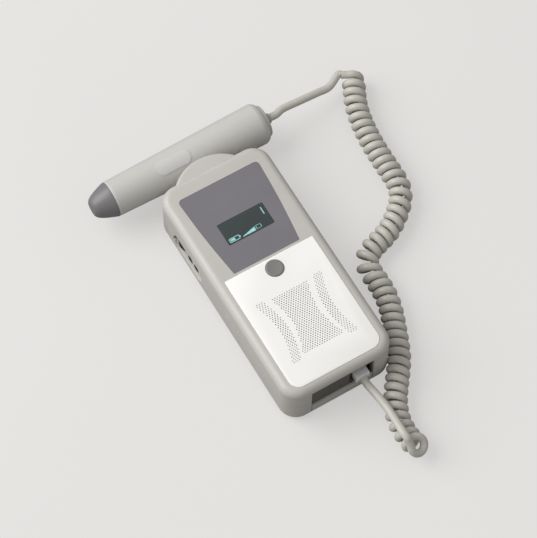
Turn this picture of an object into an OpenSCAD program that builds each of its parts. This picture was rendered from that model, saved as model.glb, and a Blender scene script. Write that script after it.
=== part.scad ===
// Hand-held Doppler monitor with a pencil probe in the cradle at its top end.
// Frame: origin at the middle of the rear face, +Z out of the display face,
// +Y towards the probe, +X towards the cable end of the probe. Millimetres.

/* [Case] */
// Width of the case
case_w = 76; // [74:0.5:84]
// Length of the case, without the cradle
case_l = 164; // [160:1:180]
// Depth of the case, from the rear face to the display face
case_h = 38; // [37:0.5:42]
// Wall thickness of both shells
wall = 2.2; // [1.8:0.1:2.6]
// Corner radius of the case seen from the front
corner_r = 12; // [10:0.5:14]
// Rounding of the edges around the display face
front_edge_r = 5; // [4:0.5:6]
// Rounding of the edges around the rear face
rear_edge_r = 6; // [4:0.5:7]
// Height of the parting line between the shells
split_z = 20; // [18.5:0.5:21]

/* [Display face] */
// Width of the perforated speaker plate
plate_w = 63; // [58:0.5:64]
// Length of the speaker plate
plate_l = 84; // [80:0.5:86]
// Thickness of the speaker plate
plate_t = 0.8; // [0.6:0.1:1.2]
// Distance from the socket end of the case to the plate
plate_margin = 5; // [5:0.5:7]
// Width of the label panel at its wide end
label_wide = 57.5; // [54:0.5:60]
// Width of the label panel beside the speaker plate
label_narrow = 46.5; // [42:0.5:50]
// Length of the label panel
label_l = 61; // [56:0.5:62]
// Thickness of the label panel
label_t = 0.4; // [0.3:0.1:0.6]
// Width of the display window
window_w = 32.5; // [30:0.5:34]
// Length of the display window
window_l = 16.3; // [15:0.1:17]
// Diameter of the round push button
button_d = 11.6; // [10:0.2:12.4]
// Distance that the push button travels
button_travel = 1; // [0.6:0.1:1.2]
// Diameter of the loudspeaker
speaker_d = 50; // [44:0.5:50]
// Distance from the end of the plate to the middle of the loudspeaker
speaker_inset = 38.5; // [36:0.5:39]

/* [Side controls] */
// Length of the shallow pocket around the side controls
pocket_l = 35; // [34:0.5:38]
// Height of the pocket
pocket_h = 15; // [13:0.5:16]
// Depth of the pocket
pocket_depth = 1.4; // [1:0.1:1.6]
// Diameter of the volume wheel
wheel_d = 15; // [14:0.5:16]
// Thickness of the volume wheel
wheel_t = 3; // [2.4:0.1:3.4]
// Bore of the headphone socket
phone_bore = 3.6; // [3.55:0.05:3.7]
// Bore of the charging socket
charge_bore = 2.6; // [2.55:0.05:2.7]

/* [Sockets and battery] */
// Width of the opening at the socket end
end_opening_w = 44; // [42:0.5:45]
// Width of the body of the modular plug
plug_w = 9.65; // [9.4:0.05:9.8]
// Height of the body of the modular plug
plug_h = 6.6; // [6.4:0.1:6.8]
// Length of the body of the modular plug
plug_l = 12; // [11.5:0.1:13]
// Width of the battery block
battery_w = 26.5; // [25.5:0.1:26.6]
// Length of the battery block
battery_l = 48.5; // [47:0.5:49]
// Thickness of the battery block
battery_h = 17.4; // [16.5:0.1:17.5]

/* [Probe] */
// Diameter at the joint of the dark nose
nose_joint_d = 23.8; // [22:0.2:25]
// Diameter at the shoulder of the cable end
shoulder_d = 28; // [26:0.5:29]
// Length of the body from the nose joint to the shoulder
body_l = 106; // [103:1:111]
// Length of the dark nose
nose_l = 14; // [12:0.5:16]
// Diameter of the flat face at the front of the nose
face_d = 10.6; // [10:0.2:12]
// Wall thickness of the probe
probe_wall = 2; // [1.6:0.1:2.4]
// Clearance of the probe to the arm under it
cradle_gap = 0.4; // [0.3:0.05:0.6]
// Clearance of the probe to the ear of the front shell
ear_gap = 0.9; // [0.6:0.1:1.2]
// Thickness of the arm under the probe
arm_t = 2.8; // [2.4:0.1:3.4]

/* [Cord] */
// Diameter of the cord
cord_d = 5.1; // [5:0.05:5.2]
// Outer diameter of the curls
curl_d = 15.4; // [15.2:0.05:15.5]
// Spacing of the curls on a straight stretch
curl_pitch = 5.71; // [5.7:0.01:6]

/* [Hidden] */
$fn = 64;
eps = 0.05;
seat_gap = 0.1;
slide_gap = 0.3;
running_gap = 0.05;
split_gap = 0.12;

// Planes of the case
half_w = case_w / 2;
half_l = case_l / 2;
inner_x = half_w - wall;
inner_y = half_l - wall;
inner_top = case_h - wall;
end_wall_y = -half_l + wall;

// Speaker plate and label panel on the display face
plate_pocket = 0.5;
plate_y0 = -half_l + plate_margin;
plate_y1 = plate_y0 + plate_l;
label_strip = 1.7;
label_y0 = plate_y1 + label_strip;
label_y1 = label_y0 + label_l;
label_pocket = label_t + seat_gap;
window_t = 1.6;
window_y = label_y0 + 26.2;
window_ledge = 1.2;
window_corner_r = 1;
button_y = plate_y1 - 7.6;
button_r = button_d / 2;
button_gap = 0.2;
button_rim = 1.4;
button_rim_t = 1.6;
plunger_r = 1.7;
speaker_y = plate_y0 + speaker_inset;
speaker_hole_r = speaker_d / 2 - 4.5;
cloth_t = 0.3;
cloth_w = speaker_d + 2;
gasket_t = 0.6;

// Battery compartment, from the door up to the main board
door_y1 = -8;
door_t = wall;
foam_t = 1;
battery_z = door_t + foam_t + seat_gap;
battery_room = 0.7;
tub_x = end_opening_w / 2 + 1.8;
tub_t = 1.5;
tub_y0 = -62;
tub_y1 = -5;
tub_top = battery_z + battery_h + battery_room + tub_t;
shelf_z = wall + 2.2;
battery_y1 = tub_y1 - 6;
hook_len = 10;
hook_reach = 1.7;
stud_x = 6.35;
stud_r = 2.9;
stud_wide_r = 4;

// Boards, and the display module that a holder keeps against the front wall
board_t = 1.6;
board_gap = 1.1;
board_side_gap = 2.6;
board_end_gap = 5.2;
main_board_z = tub_top + board_gap;
main_board_top = main_board_z + board_t;
display_size = [window_w + 7.5, window_l + 4.7];
display_t = 4.1;
display_top = inner_top - 0.2;
holder_h = display_top - display_t - main_board_top;
side_board_z = 10;
side_board_top = side_board_z + board_t;

// Side controls
pocket_y = half_l - 40;
pocket_z = 16.5;
floor_x = -half_w + pocket_depth;
pad_t = 1.4;
pad_x = floor_x + pad_t;
wheel_reach = 0.9;
wheel_x = floor_x - wheel_reach + wheel_d / 2;
wheel_y = pocket_y + 10.6;
phone_y = pocket_y - 0.9;
charge_y = pocket_y - 8.3;
control_z = side_board_top + 3;
collar_r = 2.9;
socket_depth = 12;
spindle_r = 2;
spindle_head_r = 2.8;

// Opening at the socket end, the panel in it and the jack behind it
door_w = end_opening_w - 1;
door_lip_top = 13;
panel_z0 = door_lip_top + slide_gap;
panel_z1 = case_h - 6;
panel_t = 1.2;
flange_t = 1.4;
flange_w = 1.2;
flange_back_y = end_wall_y + seat_gap + flange_t;
jack_x = 13.7;
jack_w = 13;
jack_h = 12.2;
jack_z0 = main_board_z - jack_h;
jack_y0 = flange_back_y + seat_gap;
jack_l = 16;
plug_z = jack_z0 + 6.1;
plug_y0 = -half_l - 1.5;
plug_gap = 0.2;
latch_w = 6;
latch_h = 2.2;
contact_pitch = 1.02;
contact_count = 4;

// Case screws
screw_x = half_w - 10;
screw_y = half_l - 14;
boss_r = 3.5;
screw_r = 1.25;
screw_head_r = 2.8;
screw_head_h = 2.4;
screw_seat_z = 8;
screw_top_z = 32;
post_x = half_w - 9.5;
post_ys = [50, -50];
post_r = 3;
side_board_y0 = pocket_y - pocket_l / 2 - 0.5;
side_board_y1 = side_board_y0 + pocket_l + 3;
side_post_x = -20;
side_post_ys = [side_board_y0 + 3, side_board_y1 - 4];
side_post_r = 2.6;
side_screw_r = 0.95;

// Probe, along X
probe_y = half_l + 18.4;
probe_z = 21;
joint_x = -60;
shoulder_x = joint_x + body_l;
tail_x = shoulder_x + 4.2;
tail_r = shoulder_d / 2 - 2.9;
end_cap_x = tail_x + 2.2;
relief_x = end_cap_x + 3.2;
relief_r = cord_d / 2 + 0.9;
crystal_r = face_d / 2 - 1.1;
probe_board_half = [8, 0.6];

// Ear and arm of the cradle
ear_r = 30;
ear_x = -2;
ear_y = half_l - 21.4;
ear_top = case_h - 1.2;
arm_x0 = -16;
arm_x1 = 12;
peg_xs = [-10, 6];
peg_z = 13;
peg_r = 2;

// Cord
curl_r = (curl_d - cord_d) / 2;
curl_z = curl_d / 2 + 0.2;
curl_rings = 8;
curl_sides = 6;
lead_sides = 8;
start_phase = 112.5;
fold_reach = 1.3;
inner_gap = 0.3;

// Middle line of the curls, from the probe's end to the plug's end
coil_route = [
    [121.6, 110.7, curl_z], [120.8, 105.3, curl_z], [119.6, 100.2, curl_z],
    [117, 95.4, curl_z], [114.4, 90.6, curl_z], [112.1, 85, curl_z],
    [110.2, 78.5, curl_z], [108.4, 70, curl_z], [107.2, 61, curl_z],
    [106.5, 51.5, curl_z], [106.2, 41.5, curl_z], [106.2, 31.5, curl_z],
    [106, 22, curl_z], [101.8, 13, curl_z], [94.5, 6, curl_z], [86.5, 0, curl_z],
    [78, -4.5, curl_z], [66.5, -7, curl_z], [58.5, -13, curl_z], [57.9, -22.5, curl_z],
    [58.4, -32.5, curl_z], [57.3, -42.5, curl_z], [54.5, -52, curl_z],
    [50.5, -61.5, curl_z], [46.8, -70.5, curl_z], [42.8, -79.5, curl_z],
    [37, -87.5, curl_z], [31, -95, curl_z], [25, -103, curl_z], [20.8, -112, curl_z],
    [19.3, -120.5, curl_z], [19.3, -129, 8.4], [19.8, -135.4, 11.2],
    [20.4, -138, 16.8], [19.2, -137, 23.4]
];

// Route of the straight lead, from the strain relief to the first curl
probe_lead_route = [
    [66.9, 102.3, 20], [80, 102.9, 17.6], [92.6, 103.7, 14.8], [102.9, 104.5, 12.6]
];

// Route of the straight lead, from the last curl to the plug
plug_lead_route = [
    [14.4, -128.2, 23.6], [14.8, -123, 22.4], [15.5, -116, 20.2], [15.8, -108, 18.6],
    [15.1, -98.5, 17.9]
];

// ---------------------------------------------------------------- helpers

// Rounded rectangle, centred, with one radius at all corners
module rounded_rect(w, l, r) {
    x = w / 2 - r;
    y = l / 2 - r;
    union() {
        square([w, l - 2 * r], center = true);
        square([w - 2 * r, l], center = true);
        for (sx = [-1, 1], sy = [-1, 1])
            translate([sx * x, sy * y]) circle(r);
    }
}

// Box given by its lowest and highest corner
module box(low, high) {
    translate(low) cube(high - low);
}

// Children with their +Z turned along +X on the probe's axis
module on_probe() {
    translate([0, probe_y, probe_z]) rotate([0, 90, 0]) children();
}

// Solid of the whole case, shrunk by inset on every side
module case_solid(inset) {
    r = corner_r - inset;
    rear = rear_edge_r - inset;
    front = front_edge_r - inset;
    steps = 5;
    profile = concat(
        [[0, inset]],
        [for (i = [0:steps]) let (a = -90 + 90 * i / steps)
            [r - rear + rear * cos(a), inset + rear + rear * sin(a)]],
        [for (i = [0:steps]) let (a = 90 * i / steps)
            [r - front + front * cos(a), case_h - inset - front + front * sin(a)]],
        [[0, case_h - inset]]
    );
    hull() for (sx = [-1, 1], sy = [-1, 1])
        translate([sx * (half_w - corner_r), sy * (half_l - corner_r), 0])
            rotate_extrude($fn = 32) polygon(profile);
}

// Everything above (side = 1) or below (side = -1) the parting line
module half_space(side) {
    low = side > 0 ? split_z + split_gap : -case_h;
    high = side > 0 ? 2 * case_h : split_z - split_gap;
    box([-2 * half_w, -2 * half_l, low], [2 * half_w, 2 * half_l, high]);
}

// Radius of the probe's body at a place along X
function probe_r(x) =
    (nose_joint_d + (shoulder_d - nose_joint_d) * (x - joint_x) / body_l) / 2;

// Cone that follows the probe between two places, larger by a gap
module probe_cone(x0, x1, gap) {
    on_probe() translate([0, 0, x0])
        cylinder(h = x1 - x0, r1 = probe_r(x0) + gap, r2 = probe_r(x1) + gap);
}

// Outline of the label panel, larger by a gap
module label_outline(gap) {
    corner = 3;
    steps = 8;
    sag = 0.8;
    y0 = label_y0 - gap;
    y1 = label_y1 + gap;
    low = label_narrow / 2 + gap;
    high = label_wide / 2 + gap;
    right = [for (i = [0:steps]) let (t = i / steps)
        [low + (high - low) * t + sag * sin(180 * t), y0 + (y1 - corner - y0) * t]];
    round_off = [for (i = [1:4]) let (a = 90 * i / 4)
        [high - corner + corner * cos(a), y1 - corner + corner * sin(a)]];
    side = concat(right, round_off);
    polygon(concat(side, [for (i = [len(side) - 1:-1:0]) [-side[i][0], side[i][1]]]));
}

// Outline of the display window, larger by a gap
module window_outline(gap) {
    rounded_rect(window_w + 2 * gap, window_l + 2 * gap, max(window_corner_r + gap, 0.6));
}

// Outline of the speaker plate, larger by a gap
module plate_outline(gap) {
    r = 7;
    w = plate_w + 2 * gap;
    union() {
        translate([-w / 2, plate_y0 - gap + r]) square([w, plate_l + 2 * gap - r]);
        translate([-w / 2 + r, plate_y0 - gap]) square([w - 2 * r, 2 * r]);
        for (s = [-1, 1])
            translate([s * (w / 2 - r), plate_y0 - gap + r]) circle(r);
    }
}

// Copies at the four case screws
module at_case_screws() {
    for (sx = [-1, 1], sy = [-1, 1])
        translate([sx * screw_x, sy * screw_y, 0]) children();
}

// Copies at the four posts of the main board
module at_posts() {
    for (sx = [-1, 1], y = post_ys)
        translate([sx * post_x, y, 0]) children();
}

// Copies at the two posts of the side board
module at_side_posts() {
    for (y = side_post_ys) translate([side_post_x, y, 0]) children();
}

// Stadium through the left side wall, for the control pocket
module side_pocket(gap, depth) {
    translate([-half_w - 1, pocket_y, pocket_z]) rotate([90, 0, 90])
        linear_extrude(depth + 1)
            rounded_rect(pocket_l + 2 * gap, pocket_h + 2 * gap, pocket_h / 2 + gap - 0.01);
}

// Backing of the pocket, inside the wall
module pocket_pad() {
    box([-inner_x - eps, pocket_y - pocket_l / 2 - 2, pocket_z - pocket_h / 2 - 2],
        [pad_x, pocket_y + pocket_l / 2 + 2, pocket_z + pocket_h / 2 + 2]);
}

// Holes of the side controls through the pocket floor
module control_holes() {
    slot_half = sqrt(pow(wheel_d / 2, 2) - pow(wheel_x - pad_x, 2)) + 0.5;
    box([-half_w, wheel_y - slot_half, control_z - wheel_t / 2 - 0.3],
        [pad_x + 1, wheel_y + slot_half, control_z + wheel_t / 2 + 0.3]);
    for (y = [phone_y, charge_y])
        translate([-half_w, y, control_z]) rotate([0, 90, 0])
            cylinder(h = half_w, r = collar_r + seat_gap);
}

// Opening in the socket end, for the panel and the door's lip
module end_opening() {
    box([-end_opening_w / 2, -half_l - 1, -1],
        [end_opening_w / 2, end_wall_y + eps, panel_z1 + 0.2]);
}

// ------------------------------------------------------------- case shells

// Upper half of the ear that keeps the probe in its cradle
module front_ear() {
    edge = 2;
    intersection() {
        translate([ear_x, ear_y, 0]) rotate_extrude($fn = 96)
            polygon(concat(
                [[0, split_z], [ear_r, split_z], [ear_r, ear_top - edge]],
                [for (a = [15:15:75])
                    [ear_r - edge + edge * cos(a), ear_top - edge + edge * sin(a)]],
                [[ear_r - edge, ear_top], [0, ear_top]]
            ));
        box([-half_w, inner_y + 0.5, split_z + split_gap], [half_w, probe_y, case_h]);
    }
}

module front_shell() {
    color([0.84, 0.83, 0.80]) difference() {
        union() {
            difference() {
                intersection() {
                    case_solid(0);
                    half_space(1);
                }
                case_solid(wall);
            }
            intersection() {
                pocket_pad();
                half_space(1);
            }
            at_case_screws() translate([0, 0, split_z + split_gap])
                cylinder(h = inner_top - split_z, r = boss_r);
            at_posts() translate([0, 0, main_board_top])
                cylinder(h = inner_top - main_board_top + eps, r = post_r);
            front_ear();
        }
        probe_cone(joint_x, shoulder_x, ear_gap);
        // Pockets and openings of the display face
        translate([0, 0, case_h - plate_pocket]) linear_extrude(wall)
            plate_outline(seat_gap);
        translate([0, speaker_y, case_h - plate_pocket - cloth_t])
            linear_extrude(wall) rounded_rect(cloth_w + 0.4, cloth_w + 0.4, 4);
        translate([0, speaker_y, 0]) cylinder(h = case_h, r = speaker_hole_r);
        translate([0, 0, case_h - label_pocket]) linear_extrude(wall)
            label_outline(seat_gap);
        translate([0, window_y, case_h - label_pocket - window_ledge])
            linear_extrude(wall) window_outline(seat_gap);
        translate([0, window_y, 0]) linear_extrude(case_h)
            window_outline(-1);
        translate([0, button_y, 0]) cylinder(h = case_h, r = button_r + button_gap);
        // Pilot holes for the screws
        at_case_screws() cylinder(h = screw_top_z + 1, r = screw_r + running_gap);
        at_posts() cylinder(h = inner_top - 2, r = screw_r + running_gap);
        side_pocket(0, pocket_depth);
        end_opening();
    }
}

// Tongue on the rear shell that centres the two shells, with a gap above the parting line
module split_tongue() {
    gap = 0.15;
    t = 1;
    rise = 1.4;
    difference() {
        union() {
            translate([0, 0, split_z - 3]) linear_extrude(3 - split_gap)
                rounded_rect(2 * inner_x + eps, 2 * inner_y + eps, corner_r - wall);
            translate([0, 0, split_z - 1]) linear_extrude(1 + rise)
                rounded_rect(2 * (inner_x - gap), 2 * (inner_y - gap), corner_r - wall - gap);
        }
        translate([0, 0, split_z - 4]) linear_extrude(6 + rise)
            rounded_rect(2 * (inner_x - gap - t), 2 * (inner_y - gap - t),
                corner_r - wall - gap - t);
        box([-half_w, pocket_y - pocket_l / 2 - 3, 0],
            [-inner_x + 3, pocket_y + pocket_l / 2 + 3, case_h]);
        box([-tub_x - 2, -half_l, 0], [tub_x + 2, end_wall_y + 4, case_h]);
    }
}

// Walls of the battery compartment
module battery_tub() {
    for (s = [-1, 1]) {
        x0 = s > 0 ? tub_x : -tub_x - tub_t;
        box([x0, end_wall_y - eps, wall - eps], [x0 + tub_t, tub_y1, shelf_z + tub_t]);
        box([x0, tub_y0, wall - eps], [x0 + tub_t, tub_y1, tub_top]);
        rib_x = s > 0 ? battery_w / 2 + slide_gap : -battery_w / 2 - slide_gap - 1.4;
        box([rib_x, tub_y0 + tub_t - eps, battery_z + 1],
            [rib_x + 1.4, battery_y1 + 0.4, tub_top - tub_t + eps]);
    }
    box([-tub_x - tub_t, tub_y0, tub_top - tub_t], [tub_x + tub_t, tub_y1, tub_top]);
    box([-tub_x - eps, tub_y0, shelf_z], [tub_x + eps, tub_y0 + tub_t, tub_top]);
    box([-tub_x - eps, tub_y1 - tub_t, wall - eps], [tub_x + eps, tub_y1, tub_top]);
    box([-tub_x - eps, end_wall_y - eps, shelf_z],
        [tub_x + eps, tub_y0 + eps, shelf_z + tub_t]);
}

// Copies at the two pegs that hold the cradle's arm in the end wall
module at_pegs() {
    for (x = peg_xs) translate([x, half_l, peg_z]) rotate([90, 0, 0]) children();
}

// Arm that carries the probe from below
module cradle_arm() {
    reach = probe_r(arm_x1) + cradle_gap + arm_t;
    end_angle = 45;
    color([0.82, 0.81, 0.78]) difference() {
        union() {
            intersection() {
                translate([0, probe_y, probe_z]) rotate([0, 90, 0])
                    translate([0, 0, arm_x0]) cylinder(h = arm_x1 - arm_x0, r = reach);
                translate([arm_x0, probe_y, probe_z]) rotate([90, 0, 90])
                    linear_extrude(arm_x1 - arm_x0)
                        polygon([[0, 0], [-30, 0], [-30, -30], [0, -30],
                            30 * [cos(-end_angle), sin(-end_angle)]]);
            }
            box([arm_x0, half_l, probe_z - reach],
                [arm_x1, probe_y - probe_r(arm_x0) * 0.6, split_z]);
            at_pegs() cylinder(h = wall + 2, r = peg_r);
        }
        probe_cone(joint_x, shoulder_x, cradle_gap);
        box([arm_x0 - 1, inner_y - 10, split_z - split_gap], [arm_x1 + 1, probe_y + 1, case_h]);
    }
}

module rear_shell() {
    color([0.82, 0.81, 0.78]) difference() {
        union() {
            difference() {
                intersection() {
                    case_solid(0);
                    half_space(-1);
                }
                case_solid(wall);
            }
            intersection() {
                pocket_pad();
                half_space(-1);
            }
            split_tongue();
            battery_tub();
            at_case_screws() translate([0, 0, wall - eps])
                cylinder(h = split_z - split_gap - wall + eps, r = boss_r + 0.5);
            at_side_posts() translate([0, 0, wall - eps])
                cylinder(h = side_board_z - wall + eps, r = side_post_r);
        }
        at_pegs() translate([0, 0, -1]) cylinder(h = wall + 4, r = peg_r + running_gap);
        at_case_screws() {
            translate([0, 0, -1])
                cylinder(h = screw_seat_z + 1, r = screw_head_r + slide_gap);
            cylinder(h = case_h, r = screw_r + 0.4);
        }
        at_side_posts() translate([0, 0, wall + 1])
            cylinder(h = case_h, r = side_screw_r + running_gap);
        // Room for the door: its plate, its lip and the panel above the lip
        box([-end_opening_w / 2 + 0.2, -half_l - 1, -1],
            [end_opening_w / 2 - 0.2, door_y1 + slide_gap, wall + eps]);
        end_opening();
        side_pocket(0, pocket_depth);
        control_holes();
    }
}

module battery_door() {
    x = door_w / 2;
    color([0.80, 0.79, 0.76]) difference() {
        union() {
            intersection() {
                case_solid(0);
                union() {
                    box([-x, -half_l - 1, -1], [x, door_y1, door_t]);
                    box([-x, -half_l - 1, -1], [x, end_wall_y - 0.2, door_lip_top]);
                }
            }
            for (s = [-1, 1], y = [-52, -22]) {
                x0 = s > 0 ? x - 3 : -x;
                x1 = s > 0 ? x - 3 : -x - hook_reach;
                box([x0, y, door_t - eps], [x0 + 3, y + hook_len, shelf_z - 0.4]);
                box([x1, y, door_t + 0.4], [x1 + 3 + hook_reach, y + hook_len, shelf_z - 0.4]);
            }
        }
        // Finger grooves
        for (i = [0:4]) translate([0, -66 + 2.4 * i, 0])
            box([-9, -0.5, -1], [9, 0.5, 0.6]);
    }
}

module battery_foam() {
    color([0.2, 0.2, 0.2])
        box([-10, -48, door_t], [10, -22, door_t + foam_t]);
}

// ------------------------------------------------------------ display face

module label_panel() {
    color([0.47, 0.46, 0.48]) translate([0, 0, case_h - label_pocket])
        linear_extrude(label_t) difference() {
            label_outline(0);
            translate([0, window_y]) window_outline(seat_gap);
        }
}

module display_window() {
    color([0.20, 0.23, 0.23]) translate([0, window_y, case_h - seat_gap - window_t])
        linear_extrude(window_t) window_outline(0);
}

module speaker_plate() {
    color([0.95, 0.95, 0.94]) translate([0, 0, case_h - plate_pocket])
        linear_extrude(plate_t) difference() {
            plate_outline(0);
            translate([0, button_y]) circle(button_r + button_gap);
        }
}

module grille_cloth() {
    color([0.1, 0.1, 0.1]) translate([0, speaker_y, case_h - plate_pocket - cloth_t])
        linear_extrude(cloth_t - 0.02) rounded_rect(cloth_w, cloth_w, 4);
}

module power_button() {
    top = case_h - plate_pocket + plate_t + 0.7;
    rim_top = inner_top - seat_gap;
    color([0.45, 0.44, 0.44]) translate([0, button_y, 0]) rotate_extrude()
        polygon([
            [0, rim_top - button_rim_t], [button_r + button_rim, rim_top - button_rim_t],
            [button_r + button_rim, rim_top], [button_r, rim_top],
            [button_r, top - 0.6], [button_r - 0.6, top - 0.1],
            [button_r - 2, top], [0, top]
        ]);
}

module switch_plunger() {
    z0 = main_board_top + 2.4;
    color([0.15, 0.15, 0.15]) translate([0, button_y, z0])
        cylinder(h = inner_top - seat_gap - button_rim_t - z0, r = plunger_r);
}

module button_switch() {
    body_h = 3.8;
    color([0.18, 0.18, 0.18]) translate([0, button_y, main_board_top]) difference() {
        translate([-3, -3, 0]) cube([6, 6, body_h]);
        translate([0, 0, 2.2 - button_travel]) cylinder(h = body_h, r = plunger_r + seat_gap);
    }
}

// ----------------------------------------------------------------- boards

// The board is narrower at its ends, between the case screws
module main_board() {
    wide = inner_x - board_side_gap;
    narrow = screw_x - boss_r - 1.2;
    wide_y = screw_y - boss_r - 1.5;
    y0 = jack_y0 + 0.6;
    y1 = inner_y - board_end_gap;
    color([0.10, 0.35, 0.20]) translate([0, 0, main_board_z]) linear_extrude(board_t)
        difference() {
            union() {
                translate([-wide, -wide_y]) square([2 * wide, 2 * wide_y]);
                translate([-narrow, y0]) square([2 * narrow, y1 - y0]);
            }
            at_posts() circle(screw_r + 0.2);
        }
}

module board_chips() {
    // Middle and size of each chip
    chips = [
        [[-18, 6], [12, 12, 2]], [[17, 4], [9, 16, 2.2]], [[18, 56], [10, 8, 1.6]],
        [[-14, 58], [16, 6, 2]]
    ];
    color([0.12, 0.12, 0.13]) for (c = chips) let (at = c[0], size = c[1])
        translate([at[0] - size[0] / 2, at[1] - size[1] / 2, main_board_top]) cube(size);
}

module display_holder() {
    rim = 3;
    size = display_size + [2, 2];
    color([0.16, 0.16, 0.17]) translate([0, window_y, main_board_top])
        linear_extrude(holder_h) difference() {
            square(size, center = true);
            square(size - 2 * [rim, rim], center = true);
        }
}

module display_module() {
    frame = 2.5;
    recess = 0.6;
    x = display_size[0] / 2;
    y = display_size[1] / 2;
    color([0.10, 0.14, 0.15]) translate([0, window_y, display_top]) difference() {
        box([-x, -y, -display_t], [x, y, 0]);
        box([frame - x, frame - y, -recess], [x - frame, y - frame, 1]);
    }
}

// The loudspeaker fills the room between the main board and the front wall
module speaker() {
    r = speaker_d / 2;
    magnet_r = speaker_d * 0.26;
    dome_r = speaker_d * 0.1;
    top = inner_top - gasket_t;
    magnet_z = main_board_top + 0.6;
    depth = top - magnet_z;
    rim_t = 0.22 * depth;
    color([0.15, 0.15, 0.16]) translate([0, speaker_y, 0]) rotate_extrude()
        polygon([
            [0, magnet_z], [magnet_r, magnet_z], [magnet_r, magnet_z + 0.31 * depth],
            [r - 2, top - rim_t], [r, top - rim_t], [r, top], [r - 4, top],
            [dome_r + 3, top - 0.49 * depth], [dome_r, top - 0.36 * depth],
            [0, top - 0.29 * depth]
        ]);
}

module speaker_gasket() {
    color([0.25, 0.25, 0.25]) translate([0, speaker_y, inner_top - gasket_t])
        linear_extrude(gasket_t) difference() {
            circle(speaker_d / 2);
            circle(speaker_hole_r + 1);
        }
}

module side_board() {
    x0 = pad_x + 0.6;
    x1 = side_post_x + 4;
    color([0.10, 0.35, 0.20]) translate([0, 0, side_board_z]) linear_extrude(board_t)
        difference() {
            translate([x0, side_board_y0]) square([x1 - x0, side_board_y1 - side_board_y0]);
            at_side_posts() circle(side_screw_r + 0.2);
        }
}

module board_header() {
    x = side_post_x + 1;
    half = [1.5, 8];
    color([0.12, 0.12, 0.12])
        box([x - half[0], pocket_y - half[1], side_board_top],
            [x + half[0], pocket_y + half[1], main_board_z]);
}

module volume_pot() {
    color([0.55, 0.55, 0.56]) translate([wheel_x, wheel_y, side_board_top]) {
        translate([-4.5, -4.5, 0]) cube([9, 9, control_z - wheel_t / 2 - 0.2 - side_board_top]);
        cylinder(h = control_z + wheel_t / 2 + 0.9 - side_board_top, r = spindle_r);
        translate([0, 0, control_z + wheel_t / 2 + 0.2 - side_board_top])
            cylinder(h = 0.7, r = spindle_head_r);
    }
}

module volume_wheel() {
    ridges = 30;
    color([0.14, 0.14, 0.14]) translate([wheel_x, wheel_y, control_z - wheel_t / 2])
        difference() {
            cylinder(h = wheel_t, r = wheel_d / 2);
            translate([0, 0, -1]) cylinder(h = wheel_t + 2, r = spindle_r + running_gap);
            for (i = [0:ridges - 1]) rotate([0, 0, 360 * i / ridges])
                translate([wheel_d / 2, 0, -1]) rotate([0, 0, 45])
                    translate([-0.25, -0.25, 0]) cube([0.5, 0.5, wheel_t + 2]);
        }
}

// Socket on the side board with its collar in the case wall
module side_socket(y, w, bore) {
    back_x = pad_x + 0.2;
    translate([0, y, control_z]) difference() {
        union() {
            translate([back_x, -w / 2, side_board_top - control_z])
                cube([socket_depth + 1.4, w, 2 * (control_z - side_board_top)]);
            translate([floor_x + 0.1, 0, 0]) rotate([0, 90, 0])
                cylinder(h = back_x - floor_x, r = collar_r);
        }
        translate([floor_x - 1, 0, 0]) rotate([0, 90, 0])
            cylinder(h = socket_depth + 1, r = bore / 2);
    }
}

module headphone_socket() {
    color([0.13, 0.13, 0.14]) side_socket(phone_y, 6, phone_bore);
}

module charge_socket() {
    color([0.13, 0.13, 0.14]) side_socket(charge_y, 6, charge_bore);
}

// ------------------------------------------------------- socket end

module connector_panel() {
    x = end_opening_w / 2 - 0.2;
    hole_x0 = jack_x - 8.2;
    hole_x1 = jack_x + 7.4;
    rim = 0.9;
    color([0.33, 0.33, 0.32]) difference() {
        union() {
            box([-x, end_wall_y - panel_t, panel_z0], [x, end_wall_y + seat_gap + eps, panel_z1]);
            box([-x - flange_w, end_wall_y + seat_gap, panel_z0 - 0.8],
                [x + flange_w, flange_back_y, panel_z1 + 1.2]);
        }
        box([hole_x0, -half_l, panel_z0 + rim], [hole_x1, flange_back_y + 1, panel_z1 - rim]);
    }
}

module modular_jack() {
    w = plug_w / 2 + plug_gap;
    z0 = plug_z - plug_h / 2 - plug_gap;
    z1 = plug_z + plug_h / 2 + plug_gap;
    color([0.10, 0.10, 0.10]) difference() {
        box([jack_x - jack_w / 2, jack_y0, jack_z0],
            [jack_x + jack_w / 2, jack_y0 + jack_l, main_board_z]);
        box([jack_x - w, jack_y0 - 1, z0], [jack_x + w, plug_y0 + plug_l + 0.4, z1]);
        box([jack_x - latch_w / 2 - plug_gap, jack_y0 - 1, z0],
            [jack_x + latch_w / 2 + plug_gap, plug_y0 + plug_l + 0.4, z1 + latch_h]);
        for (i = [0:contact_count - 1])
            translate([jack_x + (i - (contact_count - 1) / 2) * contact_pitch, 0, 0])
                box([-0.3, jack_y0 + 1, z0 - 0.8], [0.3, plug_y0 + plug_l + 0.4, z0 + 1]);
    }
}

module jack_contacts() {
    z0 = plug_z - plug_h / 2 - plug_gap - 0.8;
    color([0.85, 0.68, 0.30]) for (i = [0:contact_count - 1])
        translate([jack_x + (i - (contact_count - 1) / 2) * contact_pitch, 0, 0])
            box([-0.25, jack_y0 + 1.2, z0 + 0.05], [0.25, plug_y0 + plug_l + 0.2, z0 + 0.65]);
}

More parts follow.
